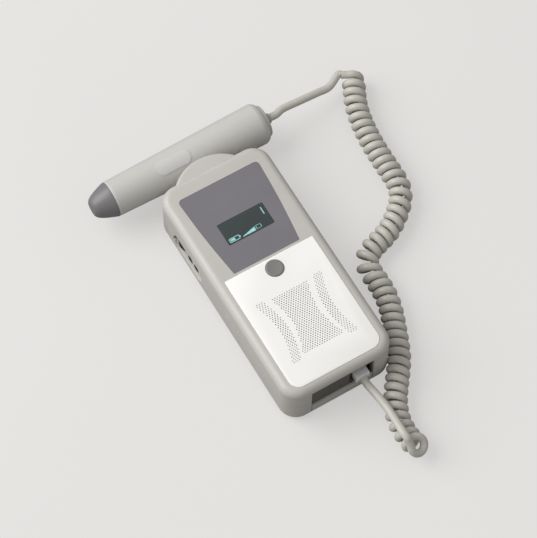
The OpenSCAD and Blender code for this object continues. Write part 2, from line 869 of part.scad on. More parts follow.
module modular_plug() {
    y1 = plug_y0 + plug_l;
    top = plug_z + plug_h / 2;
    color([0.85, 0.87, 0.88, 0.6]) difference() {
        union() {
            box([jack_x - plug_w / 2, plug_y0, plug_z - plug_h / 2], [jack_x + plug_w / 2, y1, top]);
            // Spring latch, fixed at the front edge and free over the rear
            hull() {
                box([jack_x - latch_w / 2, y1 - 1.2, top - 0.2], [jack_x + latch_w / 2, y1, top]);
                box([jack_x - latch_w / 2, y1 - 3, top + 0.5], [jack_x + latch_w / 2, y1 - 2, top + 1]);
            }
            hull() {
                box([jack_x - latch_w / 2, y1 - 3, top + 0.2], [jack_x + latch_w / 2, y1 - 2, top + 1]);
                box([jack_x - latch_w / 2 + 1, plug_y0, top + latch_h - 0.9],
                    [jack_x + latch_w / 2 - 1, plug_y0 + 1, top + latch_h]);
            }
        }
        for (i = [0:contact_count - 1])
            translate([jack_x + (i - (contact_count - 1) / 2) * contact_pitch, 0, 0])
                box([-0.25, y1 - 3.4, plug_z - plug_h / 2 - 1],
                    [0.25, y1 - 0.8, plug_z - plug_h / 2 + 2]);
    }
}

module plug_contacts() {
    y1 = plug_y0 + plug_l;
    color([0.85, 0.68, 0.30]) for (i = [0:contact_count - 1])
        translate([jack_x + (i - (contact_count - 1) / 2) * contact_pitch, 0, 0])
            box([-0.2, y1 - 3.3, plug_z - plug_h / 2 + 0.1],
                [0.2, y1 - 0.9, plug_z - plug_h / 2 + 1.95]);
}

module battery() {
    y0 = battery_y1 - battery_l;
    color([0.20, 0.22, 0.26]) union() {
        translate([0, y0, battery_z + battery_h / 2]) rotate([-90, 0, 0])
            linear_extrude(battery_l) rounded_rect(battery_w, battery_h, 2);
        for (s = [-1, 1])
            translate([s * stud_x, battery_y1 - eps, battery_z + battery_h / 2])
                rotate([-90, 0, 0]) cylinder(h = 2.9, r = s > 0 ? stud_wide_r : stud_r);
    }
}

module battery_snap() {
    z = battery_z + battery_h / 2;
    color([0.10, 0.10, 0.10]) difference() {
        box([-battery_w / 2 + 0.5, battery_y1 + 0.3, z - 7.5],
            [battery_w / 2 - 0.5, tub_y1 - tub_t - seat_gap, z + 7.5]);
        for (s = [-1, 1])
            translate([s * stud_x, battery_y1 - 1, z]) rotate([-90, 0, 0])
                cylinder(h = 4.3, r = (s > 0 ? stud_wide_r : stud_r) + slide_gap);
    }
}

// --------------------------------------------------------------- fasteners

module case_screws() {
    color([0.6, 0.6, 0.6]) at_case_screws() difference() {
        union() {
            translate([0, 0, screw_seat_z - screw_head_h])
                cylinder(h = screw_head_h, r = screw_head_r);
            translate([0, 0, screw_seat_z - eps])
                cylinder(h = screw_top_z - screw_seat_z, r = screw_r);
        }
        for (a = [0, 90]) rotate([0, 0, a])
            translate([-1.6, -0.35, screw_seat_z - screw_head_h - 1]) cube([3.2, 0.7, 2.2]);
    }
}

module board_screws() {
    head_h = 1.5;
    color([0.6, 0.6, 0.6]) {
        at_posts() {
            translate([0, 0, main_board_z - head_h]) cylinder(h = head_h, r = 2.2);
            translate([0, 0, main_board_z - eps]) cylinder(h = 6, r = screw_r);
        }
        at_side_posts() {
            translate([0, 0, side_board_top]) cylinder(h = head_h, r = 1.9);
            translate([0, 0, side_board_top - 5]) cylinder(h = 5 + eps, r = side_screw_r);
        }
    }
}

// ------------------------------------------------------------------- probe

// Slot that holds one end of the board in the probe
module probe_board_slot(x0, x1) {
    half = probe_board_half + [0.2, seat_gap];
    translate([0, probe_y, probe_z]) box([x0, -half[0], -half[1]], [x1, half[0], half[1]]);
}

module probe_body() {
    r0 = nose_joint_d / 2;
    r1 = shoulder_d / 2;
    edge_steps = 8;
    fullness = 1.25;
    color([0.80, 0.80, 0.78]) on_probe() rotate_extrude($fn = 96)
        polygon(concat(
            [[r0 - probe_wall, joint_x + 0.05], [r0, joint_x + 0.05], [r1, shoulder_x]],
            [for (i = [1:edge_steps]) let (a = 90 * i / edge_steps)
                [tail_r + (r1 - tail_r) * pow(max(cos(a), 0), fullness),
                    shoulder_x + (tail_x - shoulder_x) * pow(sin(a), fullness)]],
            [[tail_r - probe_wall, tail_x], [tail_r - probe_wall, shoulder_x - 1],
                [r1 - probe_wall, shoulder_x - 5]]
        ));
}

module probe_nose() {
    r0 = nose_joint_d / 2;
    r1 = face_d / 2;
    steps = 8;
    tip_x = joint_x - nose_l;
    spigot_r = r0 - probe_wall - seat_gap;
    spigot_l = 6;
    seat_r = crystal_r + seat_gap;
    core_r = seat_r + 1.5;
    color([0.42, 0.41, 0.42]) difference() {
        on_probe() rotate_extrude($fn = 96)
            polygon(concat(
                [[0, tip_x], [r1 - 0.4, tip_x]],
                [for (i = [0:steps]) let (t = i / steps)
                    [r1 + (r0 - r1) * pow(t, 0.62), tip_x + 0.4 + (nose_l - 0.45) * t]],
                [[spigot_r, joint_x - 0.05], [spigot_r, joint_x + spigot_l],
                    [core_r, joint_x + spigot_l], [core_r, joint_x - 4],
                    [seat_r, joint_x - 4], [seat_r, tip_x + 0.8], [0, tip_x + 0.8]]
            ));
        probe_board_slot(joint_x + 2, joint_x + 2 + spigot_l);
    }
}

module probe_end_cap() {
    r = tail_r - 0.25;
    round_r = 1.6;
    bore_r = relief_r + seat_gap;
    spigot_r = tail_r - probe_wall - seat_gap;
    color([0.74, 0.74, 0.72]) difference() {
        on_probe() rotate_extrude($fn = 96)
            polygon(concat(
                [[bore_r, tail_x - 5], [spigot_r, tail_x - 5], [spigot_r, tail_x + 0.05],
                    [r, tail_x + 0.05]],
                [for (i = [0:4]) let (a = 90 * i / 4)
                    [r - round_r + round_r * cos(a), end_cap_x - round_r + round_r * sin(a)]],
                [[bore_r, end_cap_x]]
            ));
        probe_board_slot(tail_x - 6, tail_x - 3);
    }
}

module probe_strain_relief() {
    hole_r = cord_d / 2 + seat_gap;
    collar_x = end_cap_x + seat_gap;
    collar = relief_r + 0.9;
    color([0.66, 0.65, 0.62]) on_probe() rotate_extrude()
        polygon([
            [hole_r, tail_x - 3], [relief_r, tail_x - 3], [relief_r, collar_x],
            [collar, collar_x], [collar, collar_x + 1], [collar - 0.5, collar_x + 1.4],
            [relief_r, relief_x], [0, relief_x], [0, relief_x - 1], [hole_r, relief_x - 1]
        ]);
}

module probe_label() {
    thickness = 0.35;
    label_gap = 0.02;
    length = 24;
    width = 9.8;
    tilt = 13;
    x0 = -28.4;
    color([0.86, 0.86, 0.85]) intersection() {
        difference() {
            probe_cone(x0 - 1, x0 + length + 1, label_gap + thickness);
            probe_cone(x0 - 2, x0 + length + 2, label_gap);
        }
        translate([x0 + length / 2, probe_y, probe_z]) rotate([tilt, 0, 0])
            linear_extrude(shoulder_d) rounded_rect(length, width, 4.2);
    }
}

module probe_board() {
    half = probe_board_half;
    color([0.10, 0.35, 0.20]) translate([0, probe_y, probe_z])
        box([joint_x + 2.4, -half[0], -half[1]], [tail_x - 3.4, half[0], half[1]]);
}

// Two half discs, one sends and one receives
module crystals() {
    tip_x = joint_x - nose_l;
    color([0.75, 0.70, 0.55]) difference() {
        on_probe() translate([0, 0, tip_x + 0.85]) cylinder(h = 1, r = crystal_r);
        translate([tip_x, probe_y - 0.25, probe_z - 10]) cube([4, 0.5, 20]);
    }
}

module crystal_backing() {
    tip_x = joint_x - nose_l;
    color([0.20, 0.20, 0.22]) on_probe() translate([0, 0, tip_x + 1.9])
        cylinder(h = 6, r = crystal_r);
}

// -------------------------------------------------------------------- cord

function unit(v) = v / norm(v);

// Uniform cubic B-spline along a list of points: place and first derivative
function spline(p, u) = let (i = min(floor(u), len(p) - 4), t = u - i)
    (pow(1 - t, 3) * p[i] + (3 * pow(t, 3) - 6 * t * t + 4) * p[i + 1]
        + (-3 * pow(t, 3) + 3 * t * t + 3 * t + 1) * p[i + 2] + pow(t, 3) * p[i + 3]) / 6;
function spline_d(p, u) = let (i = min(floor(u), len(p) - 4), t = u - i)
    (-pow(1 - t, 2) * p[i] + (3 * t * t - 4 * t) * p[i + 1]
        + (-3 * t * t + 2 * t + 1) * p[i + 2] + t * t * p[i + 3]) / 2;

// Each curl faces along the route's chord over a few curls, so that they fan out
// evenly round a fold. The pitch grows there until the curls clear each other on
// the inside.
route_end = len(coil_route) - 3;
turn_step = 0.1;
least_share = 0.35;
function chord(u, reach) = let (low = max(u - reach, 0), high = min(u + reach, route_end))
    spline(coil_route, high) - spline(coil_route, low);
function ring_axis(u) = unit(chord(u, fold_reach));
function ring_turn(u) =
    norm(ring_axis(min(u + turn_step, route_end)) - ring_axis(max(u - turn_step, 0)))
        / norm(chord(u, turn_step));
function local_pitch(u) = curl_pitch / max(least_share,
    unit(spline_d(coil_route, u)) * ring_axis(u) - ring_turn(u) * (curl_r + inner_gap));

// Place along the route and phase of each ring. The wire goes over the curls' top
// towards +X and comes back under them.
curl_steps = [for (u = 0, i = 0; u < route_end;
        u = u + local_pitch(u) / curl_rings / norm(spline_d(coil_route, u)), i = i + 1)
    [u, start_phase - 360 * i / curl_rings]];

// Outward direction and place of the wire at one ring
function curl_out(s) = let (t = ring_axis(s[0]), n = unit(cross([0, 0, 1], t)))
    cos(s[1]) * n + sin(s[1]) * cross(t, n);
curl_outs = [for (s = curl_steps) curl_out(s)];
curl_wire = [for (i = [0:len(curl_steps) - 1])
    spline(coil_route, curl_steps[i][0]) + curl_r * curl_outs[i]];
wire_start_dir = unit(curl_wire[1] - curl_wire[0]);
wire_last = len(curl_wire) - 1;
wire_end_dir = unit(curl_wire[wire_last] - curl_wire[wire_last - 1]);
curl_start = curl_wire[0] - cord_d * wire_start_dir;
curl_end = curl_wire[wire_last] + cord_d * wire_end_dir;

// Straight leads: route points, straight and square where they meet another piece
relief_face = [relief_x, probe_y, probe_z];
plug_face = [jack_x, plug_y0, plug_z];
joint_stub = cord_d * 0.4;
probe_lead_points = concat([relief_face, relief_face + [cord_d, 0, 0]], probe_lead_route,
    [curl_start - joint_stub * wire_start_dir, curl_start]);
plug_lead_points = concat([curl_end, curl_end + joint_stub * wire_end_dir], plug_lead_route,
    [plug_face - [0, cord_d, 0], plug_face]);

function path_length(p) = len(p) < 2 ? 0
    : [for (i = 1, s = norm(p[1] - p[0]); i < len(p);
        i = i + 1, s = i < len(p) ? s + norm(p[i] - p[i - 1]) : s) s][len(p) - 2];

// Least gap of the curls to themselves, half a turn or more apart
curl_gap = min([for (i = [0:wire_last - 4]) min([for (j = [i + 4:min(wire_last, i + 60)])
    norm(curl_wire[i] - curl_wire[j])])]) - cord_d;
echo(least_gap_of_curls = curl_gap, rings = len(curl_wire));
echo(curls = len(curl_wire) / curl_rings, curl_wire_length = path_length(curl_wire));
echo(probe_lead_length = path_length(probe_lead_points),
    plug_lead_length = path_length(plug_lead_points));
echo(curl_start = curl_start, curl_start_dir = wire_start_dir);
echo(curl_end = curl_end, curl_end_dir = wire_end_dir);

// One closed tube along a path. Each ring is square to the path, and outs point
// across it, so that the rings don't twist.
module tube(path, outs, r, sides) {
    last = len(path) - 1;
    dirs = [for (i = [0:last]) unit(path[min(i + 1, last)] - path[max(i - 1, 0)])];
    points = [for (i = [0:last]) let (b = unit(cross(dirs[i], outs[i])), a = cross(b, dirs[i]))
        for (k = [0:sides - 1]) let (angle = 360 * k / sides)
            path[i] + r * (cos(angle) * a + sin(angle) * b)];
    walls = [for (i = [0:last - 1], k = [0:sides - 1]) let (m = (k + 1) % sides)
        each [[i * sides + k, (i + 1) * sides + k, (i + 1) * sides + m],
            [i * sides + k, (i + 1) * sides + m, i * sides + m]]];
    near_end = [for (k = [1:sides - 2]) [0, k, k + 1]];
    far_end = [for (k = [1:sides - 2]) [last * sides, last * sides + k + 1, last * sides + k]];
    polyhedron(points, concat(walls, near_end, far_end));
}

cord_color = [0.68, 0.67, 0.64];

module probe_lead() {
    color(cord_color) tube(probe_lead_points, [for (p = probe_lead_points) [0, 0, 1]],
        cord_d / 2, lead_sides);
}

module curly_cord() {
    path = concat([curl_start], curl_wire, [curl_end]);
    outs = concat([curl_outs[0]], curl_outs, [curl_outs[wire_last]]);
    color(cord_color) tube(path, outs, cord_d / 2, curl_sides);
}

module plug_lead() {
    color(cord_color) tube(plug_lead_points, [for (p = plug_lead_points) [0, 0, 1]],
        cord_d / 2, lead_sides);
}

// ---------------------------------------------------------------- assembly

front_shell();
rear_shell();
cradle_arm();
battery_door();
battery_foam();
label_panel();
display_window();
speaker_plate();
grille_cloth();
connector_panel();
power_button();
switch_plunger();
button_switch();
main_board();
board_chips();
display_holder();
display_module();
speaker();
speaker_gasket();
side_board();
board_header();
volume_pot();
volume_wheel();
headphone_socket();
charge_socket();
modular_jack();
jack_contacts();
modular_plug();
plug_contacts();
battery();
battery_snap();
case_screws();
board_screws();
probe_body();
probe_nose();
probe_end_cap();
probe_strain_relief();
probe_label();
probe_board();
crystals();
crystal_backing();
probe_lead();
curly_cord();
plug_lead();
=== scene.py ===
"""Looks of a hand-held Doppler monitor with a pencil probe in its cradle and a curly cord.

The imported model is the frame. Sizes in the classes are millimetres, in the frame's own axes:
origin under the middle of the case, +Z out of the display face, +Y towards the probe and
+X towards the cable end of the probe. Meshes are made in metres.
"""

import logging
import math
from collections.abc import Callable, Sequence
from contextlib import contextmanager
from dataclasses import dataclass, field
from enum import Enum
from typing import Iterator

import bmesh
import bpy
from mathutils import Matrix, Vector


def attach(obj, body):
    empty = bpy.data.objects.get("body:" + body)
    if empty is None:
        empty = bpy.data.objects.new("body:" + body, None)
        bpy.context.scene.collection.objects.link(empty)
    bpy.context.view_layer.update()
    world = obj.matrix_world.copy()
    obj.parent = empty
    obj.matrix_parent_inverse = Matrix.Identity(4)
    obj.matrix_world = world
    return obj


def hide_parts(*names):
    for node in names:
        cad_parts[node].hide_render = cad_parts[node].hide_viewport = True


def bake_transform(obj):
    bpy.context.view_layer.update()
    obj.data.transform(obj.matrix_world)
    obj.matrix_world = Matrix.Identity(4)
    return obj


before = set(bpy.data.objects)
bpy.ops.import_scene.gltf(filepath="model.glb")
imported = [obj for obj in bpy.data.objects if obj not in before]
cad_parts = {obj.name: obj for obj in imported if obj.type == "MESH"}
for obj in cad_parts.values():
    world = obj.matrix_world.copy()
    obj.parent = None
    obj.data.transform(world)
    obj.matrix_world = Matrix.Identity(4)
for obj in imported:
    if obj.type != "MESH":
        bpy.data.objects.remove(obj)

LOG = logging.getLogger("doppler")
MM = 0.001
Point = tuple[float, float, float]
Tint = tuple[float, float, float]
Pair = tuple[float, float]
Span = tuple[Pair, Pair]
NEAR = 1e-5

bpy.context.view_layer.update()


# ---------------------------------------------------------------- finishes


def srgb(red: int, green: int, blue: int) -> Tint:
    """Gives the linear colour of an sRGB colour.

    Args:
        red: Red, from 0 to 255.
        green: Green, from 0 to 255.
        blue: Blue, from 0 to 255.

    Returns:
        The three linear values.
    """

    def linear(value: int) -> float:
        """Linear value of one channel."""
        v = value / 255
        return v / 12.92 if v <= 0.04045 else ((v + 0.055) / 1.055) ** 2.4

    return linear(red), linear(green), linear(blue)


def shade(tint: Tint, by: float) -> tuple[float, float, float, float]:
    """Gives a lighter or darker opaque copy of a colour.

    Args:
        tint: The linear colour.
        by: Factor on all three values.

    Returns:
        The colour with an alpha of 1.
    """
    return (*(min(1.0, v * by) for v in tint), 1.0)


def turns(start: int, stop: int, step: int) -> list[float]:
    """Gives a run of angles.

    Args:
        start: First angle in whole degrees.
        stop: Degrees that the run stays under.
        step: Degrees from one angle to the next.

    Returns:
        The angles in radians.
    """
    return [math.radians(degrees) for degrees in range(start, stop, step)]


class NodeSheet:
    """Node tree of one material, with short calls to add and join nodes."""

    def __init__(self, name: str) -> None:
        """Makes an empty material with its output and main shader.

        Args:
            name: Name of the material.
        """
        self.material = bpy.data.materials.new(name)
        self.material.use_nodes = True
        self.tree = self.material.node_tree
        self.tree.nodes.clear()
        self.output = self.add("ShaderNodeOutputMaterial")
        self.surface = self.add("ShaderNodeBsdfPrincipled")
        self.join(self.surface, "BSDF", self.output, "Surface")

    def add(self, kind: str, **settings: object) -> bpy.types.Node:
        """Adds a node.

        Args:
            kind: Blender's name of the node type.
            **settings: Properties of the node to set.

        Returns:
            The new node.
        """
        node = self.tree.nodes.new(kind)
        for key, value in settings.items():
            setattr(node, key, value)
        return node

    def join(self, source: bpy.types.Node, out: str | int, target: bpy.types.Node,
             into: str | int) -> None:
        """Joins two sockets.

        Args:
            source: Node that gives the value.
            out: Name or number of its socket.
            target: Node that takes the value.
            into: Name or number of its socket.
        """
        self.tree.links.new(source.outputs[out], target.inputs[into])

    def set(self, **values: object) -> None:
        """Sets sockets of the main shader, with underscores for spaces.

        Args:
            **values: Socket name and value.
        """
        for key, value in values.items():
            self.surface.inputs[key.replace("_", " ")].default_value = value

    def noise(self, scale: float, detail: float = 3.0) -> bpy.types.Node:
        """Adds a noise texture on the piece's Object coordinates.

        Args:
            scale: Blobs in a metre.
            detail: Octaves of the noise.

        Returns:
            The texture node.
        """
        place = self.add("ShaderNodeTexCoord")
        texture = self.add("ShaderNodeTexNoise")
        texture.inputs["Scale"].default_value = scale
        texture.inputs["Detail"].default_value = detail
        self.join(place, "Object", texture, "Vector")
        return texture

    def ramp(self, source: bpy.types.Node, out: str, low: Sequence[float],
             high: Sequence[float], start: float = 0.3, end: float = 0.7) -> bpy.types.Node:
        """Adds a two-colour ramp on a value.

        Args:
            source: Node that gives the value.
            out: Name of its socket.
            low: Colour at the start.
            high: Colour at the end.
            start: Value that gives the low colour.
            end: Value that gives the high colour.

        Returns:
            The ramp node.
        """
        ramp = self.add("ShaderNodeValToRGB")
        stops = ramp.color_ramp.elements
        stops[0].position, stops[0].color = start, low
        stops[1].position, stops[1].color = end, high
        self.join(source, out, ramp, "Fac")
        return ramp

    def span(self, source: bpy.types.Node, out: str, low: float, high: float) -> bpy.types.Node:
        """Adds a map from the middle of a noise's range to another span.

        Args:
            source: Node that gives the value.
            out: Name of its socket.
            low: Result at 0.3.
            high: Result at 0.7.

        Returns:
            The map node.
        """
        ends = {"From Min": 0.3, "From Max": 0.7, "To Min": low, "To Max": high}
        node = self.add("ShaderNodeMapRange")
        for key, value in ends.items():
            node.inputs[key].default_value = value
        self.join(source, out, node, "Value")
        return node

    def bump(self, source: bpy.types.Node, out: str, depth: float, strength: float) -> None:
        """Adds a bump from a height to the main shader.

        Args:
            source: Node that gives the height.
            out: Name of its socket.
            depth: Height of the relief in metres.
            strength: Share of the relief that is used.
        """
        bump = self.add("ShaderNodeBump")
        bump.inputs["Distance"].default_value = depth
        bump.inputs["Strength"].default_value = strength
        self.join(source, out, bump, "Height")
        self.join(bump, "Normal", self.surface, "Normal")


@dataclass(frozen=True)
class Finish:
    """Surface of moulded plastic, and the base of the other finishes.

    Attributes:
        name: Name of the material.
        tint: Linear base colour.
        roughness: Middle roughness of the surface.
        mottle: Share by which the colour varies over the piece.
        grain: Fine spark-eroded grains in a metre.
        grain_depth: Depth of the grain in metres.
        coat: Weight of a clear coat.
    """

    name: str
    tint: Tint
    roughness: float = 0.45
    mottle: float = 0.03
    grain: float = 2600.0
    grain_depth: float = 0.00003
    coat: float = 0.0

    def build(self) -> bpy.types.Material:
        """Makes the material, or gives the one already made.

        Returns:
            The material.
        """
        made = bpy.data.materials.get(self.name)
        if made is not None:
            return made
        sheet = NodeSheet(self.name)
        self.dress(sheet)
        return sheet.material

    def dress(self, sheet: NodeSheet) -> None:
        """Sets the colour, roughness and grain of moulded plastic.

        Args:
            sheet: Node sheet of the new material.
        """
        cloud = sheet.noise(scale=38.0, detail=4.0)
        dark, light = shade(self.tint, 1 - self.mottle), shade(self.tint, 1 + self.mottle)
        tone = sheet.ramp(cloud, "Fac", dark, light)
        sheet.join(tone, "Color", sheet.surface, "Base Color")
        wipe = sheet.noise(scale=120.0, detail=5.0)
        rough = sheet.span(wipe, "Fac", self.roughness - 0.05, self.roughness + 0.06)
        sheet.join(rough, "Result", sheet.surface, "Roughness")
        grain = sheet.noise(self.grain, detail=2.0)
        sheet.bump(grain, "Fac", self.grain_depth, strength=0.35)
        sheet.set(Coat_Weight=self.coat, Coat_Roughness=0.12)


@dataclass(frozen=True)
class MetalFinish(Finish):
    """Plated or bare metal with a finely blotted surface."""

    def dress(self, sheet: NodeSheet) -> None:
        """Sets a metal whose shade and roughness vary in fine blots.

        Args:
            sheet: Node sheet of the new material.
        """
        cloud = sheet.noise(scale=300.0, detail=5.0)
        tone = sheet.ramp(cloud, "Fac", shade(self.tint, 0.92), shade(self.tint, 1.06))
        sheet.join(tone, "Color", sheet.surface, "Base Color")
        rough = sheet.span(cloud, "Fac", self.roughness - 0.08, self.roughness + 0.08)
        sheet.join(rough, "Result", sheet.surface, "Roughness")
        sheet.set(Metallic=1.0)


@dataclass(frozen=True)
class ClothFinish(Finish):
    """Acoustic cloth, or foam where the cells are coarse."""

    def dress(self, sheet: NodeSheet) -> None:
        """Sets a surface of small cells, darker at the middle of each as painted shade in its
        hollow and lighter on the rims as painted light.

        Args:
            sheet: Node sheet of the new material.
        """
        place = sheet.add("ShaderNodeTexCoord")
        cells = sheet.add("ShaderNodeTexVoronoi")
        cells.inputs["Scale"].default_value = self.grain
        sheet.join(place, "Object", cells, "Vector")
        # Painted shade and light: the ramp darkens each cell's middle, where the bump dips, and
        # lightens its rims.
        tone = sheet.ramp(cells, "Distance", shade(self.tint, 0.6), shade(self.tint, 1.3),
                          start=0.1, end=0.8)
        sheet.join(tone, "Color", sheet.surface, "Base Color")
        sheet.bump(cells, "Distance", self.grain_depth, strength=0.6)
        sheet.set(Roughness=self.roughness, Sheen_Weight=0.2)


@dataclass(frozen=True)
class ClearFinish(Finish):
    """Clear moulded plastic."""

    def dress(self, sheet: NodeSheet) -> None:
        """Sets a clear plastic with faint flow marks.

        Args:
            sheet: Node sheet of the new material.
        """
        cloud = sheet.noise(scale=150.0, detail=3.0)
        tone = sheet.ramp(cloud, "Fac", shade(self.tint, 0.95), shade(self.tint, 1.0))
        sheet.join(tone, "Color", sheet.surface, "Base Color")
        rough = sheet.span(cloud, "Fac", self.roughness - 0.03, self.roughness + 0.03)
        sheet.join(rough, "Result", sheet.surface, "Roughness")
        sheet.set(Transmission_Weight=0.85, IOR=1.49)


@dataclass(frozen=True)
class GlowFinish(Finish):
    """Lit segment of the display.

    Attributes:
        glow: Strength of the light.
    """

    glow: float = 0.35

    def dress(self, sheet: NodeSheet) -> None:
        """Sets a pale segment that gives a little light of its own.

        Args:
            sheet: Node sheet of the new material.
        """
        cloud = sheet.noise(scale=900.0, detail=2.0)
        tone = sheet.ramp(cloud, "Fac", shade(self.tint, 0.85), shade(self.tint, 1.1))
        sheet.join(tone, "Color", sheet.surface, "Base Color")
        sheet.join(tone, "Color", sheet.surface, "Emission Color")
        sheet.set(Roughness=self.roughness, Emission_Strength=self.glow)


SHELL = Finish("shell_plastic", srgb(193, 190, 185), roughness=0.42, mottle=0.02)
DOOR = Finish("door_plastic", srgb(194, 190, 184), roughness=0.45, mottle=0.02)
PLATE = Finish("plate_white", srgb(246, 245, 242), roughness=0.42, mottle=0.01, grain=3000.0,
               grain_depth=0.00001, coat=0.1)
LABEL = Finish("label_grey", srgb(118, 116, 122), roughness=0.5, mottle=0.04, grain=3400.0,
               grain_depth=0.00001)
WINDOW = Finish("display_glass", srgb(50, 60, 60), roughness=0.12, mottle=0.05, grain=900.0,
                grain_depth=0.000004, coat=0.6)
SEGMENT = GlowFinish("display_segments", srgb(150, 205, 202), roughness=0.4, glow=0.2)
BUTTON = Finish("button_grey", srgb(128, 126, 125), roughness=0.5, mottle=0.04)
SOCKET_PANEL = Finish("socket_panel", srgb(93, 91, 87), roughness=0.5, mottle=0.05)
BLACK = Finish("black_moulding", srgb(38, 38, 39), roughness=0.45, mottle=0.08)
BOARD = Finish("board_green", srgb(30, 90, 55), roughness=0.35, mottle=0.15, grain=900.0,
               grain_depth=0.00002)
METAL = MetalFinish("zinc_plate", srgb(175, 175, 176), roughness=0.3)
CAN = MetalFinish("battery_wrap", srgb(70, 74, 84), roughness=0.42)
CONTACT = MetalFinish("gold_contact", srgb(222, 180, 98), roughness=0.25)
CLOTH = ClothFinish("acoustic_cloth", srgb(36, 35, 34), roughness=0.9, grain=2200.0,
                    grain_depth=0.00008)
FOAM = ClothFinish("cell_foam", srgb(60, 60, 60), roughness=0.95, grain=700.0,
                   grain_depth=0.0003)
CLEAR = ClearFinish("clear_plug", srgb(170, 172, 168), roughness=0.12)
PROBE_SHELL = Finish("probe_plastic", srgb(197, 196, 192), roughness=0.38, mottle=0.02)
PROBE_NOSE = Finish("probe_nose", srgb(120, 118, 120), roughness=0.4, mottle=0.05)
PROBE_CAP = Finish("probe_cap", srgb(188, 187, 183), roughness=0.42, mottle=0.03)
PROBE_LABEL = Finish("probe_label", srgb(204, 204, 202), roughness=0.3, mottle=0.01,
                     grain=2600.0, grain_depth=0.00001, coat=0.3)
RELIEF = Finish("relief_rubber", srgb(172, 170, 162), roughness=0.55, mottle=0.04)
CERAMIC = Finish("piezo_ceramic", srgb(200, 190, 150), roughness=0.6, mottle=0.08)
JACKET = Finish("cord_jacket", srgb(196, 193, 185), roughness=0.42, mottle=0.04, grain=1800.0,
                grain_depth=0.00003)


# ---------------------------------------------------------------- workbench


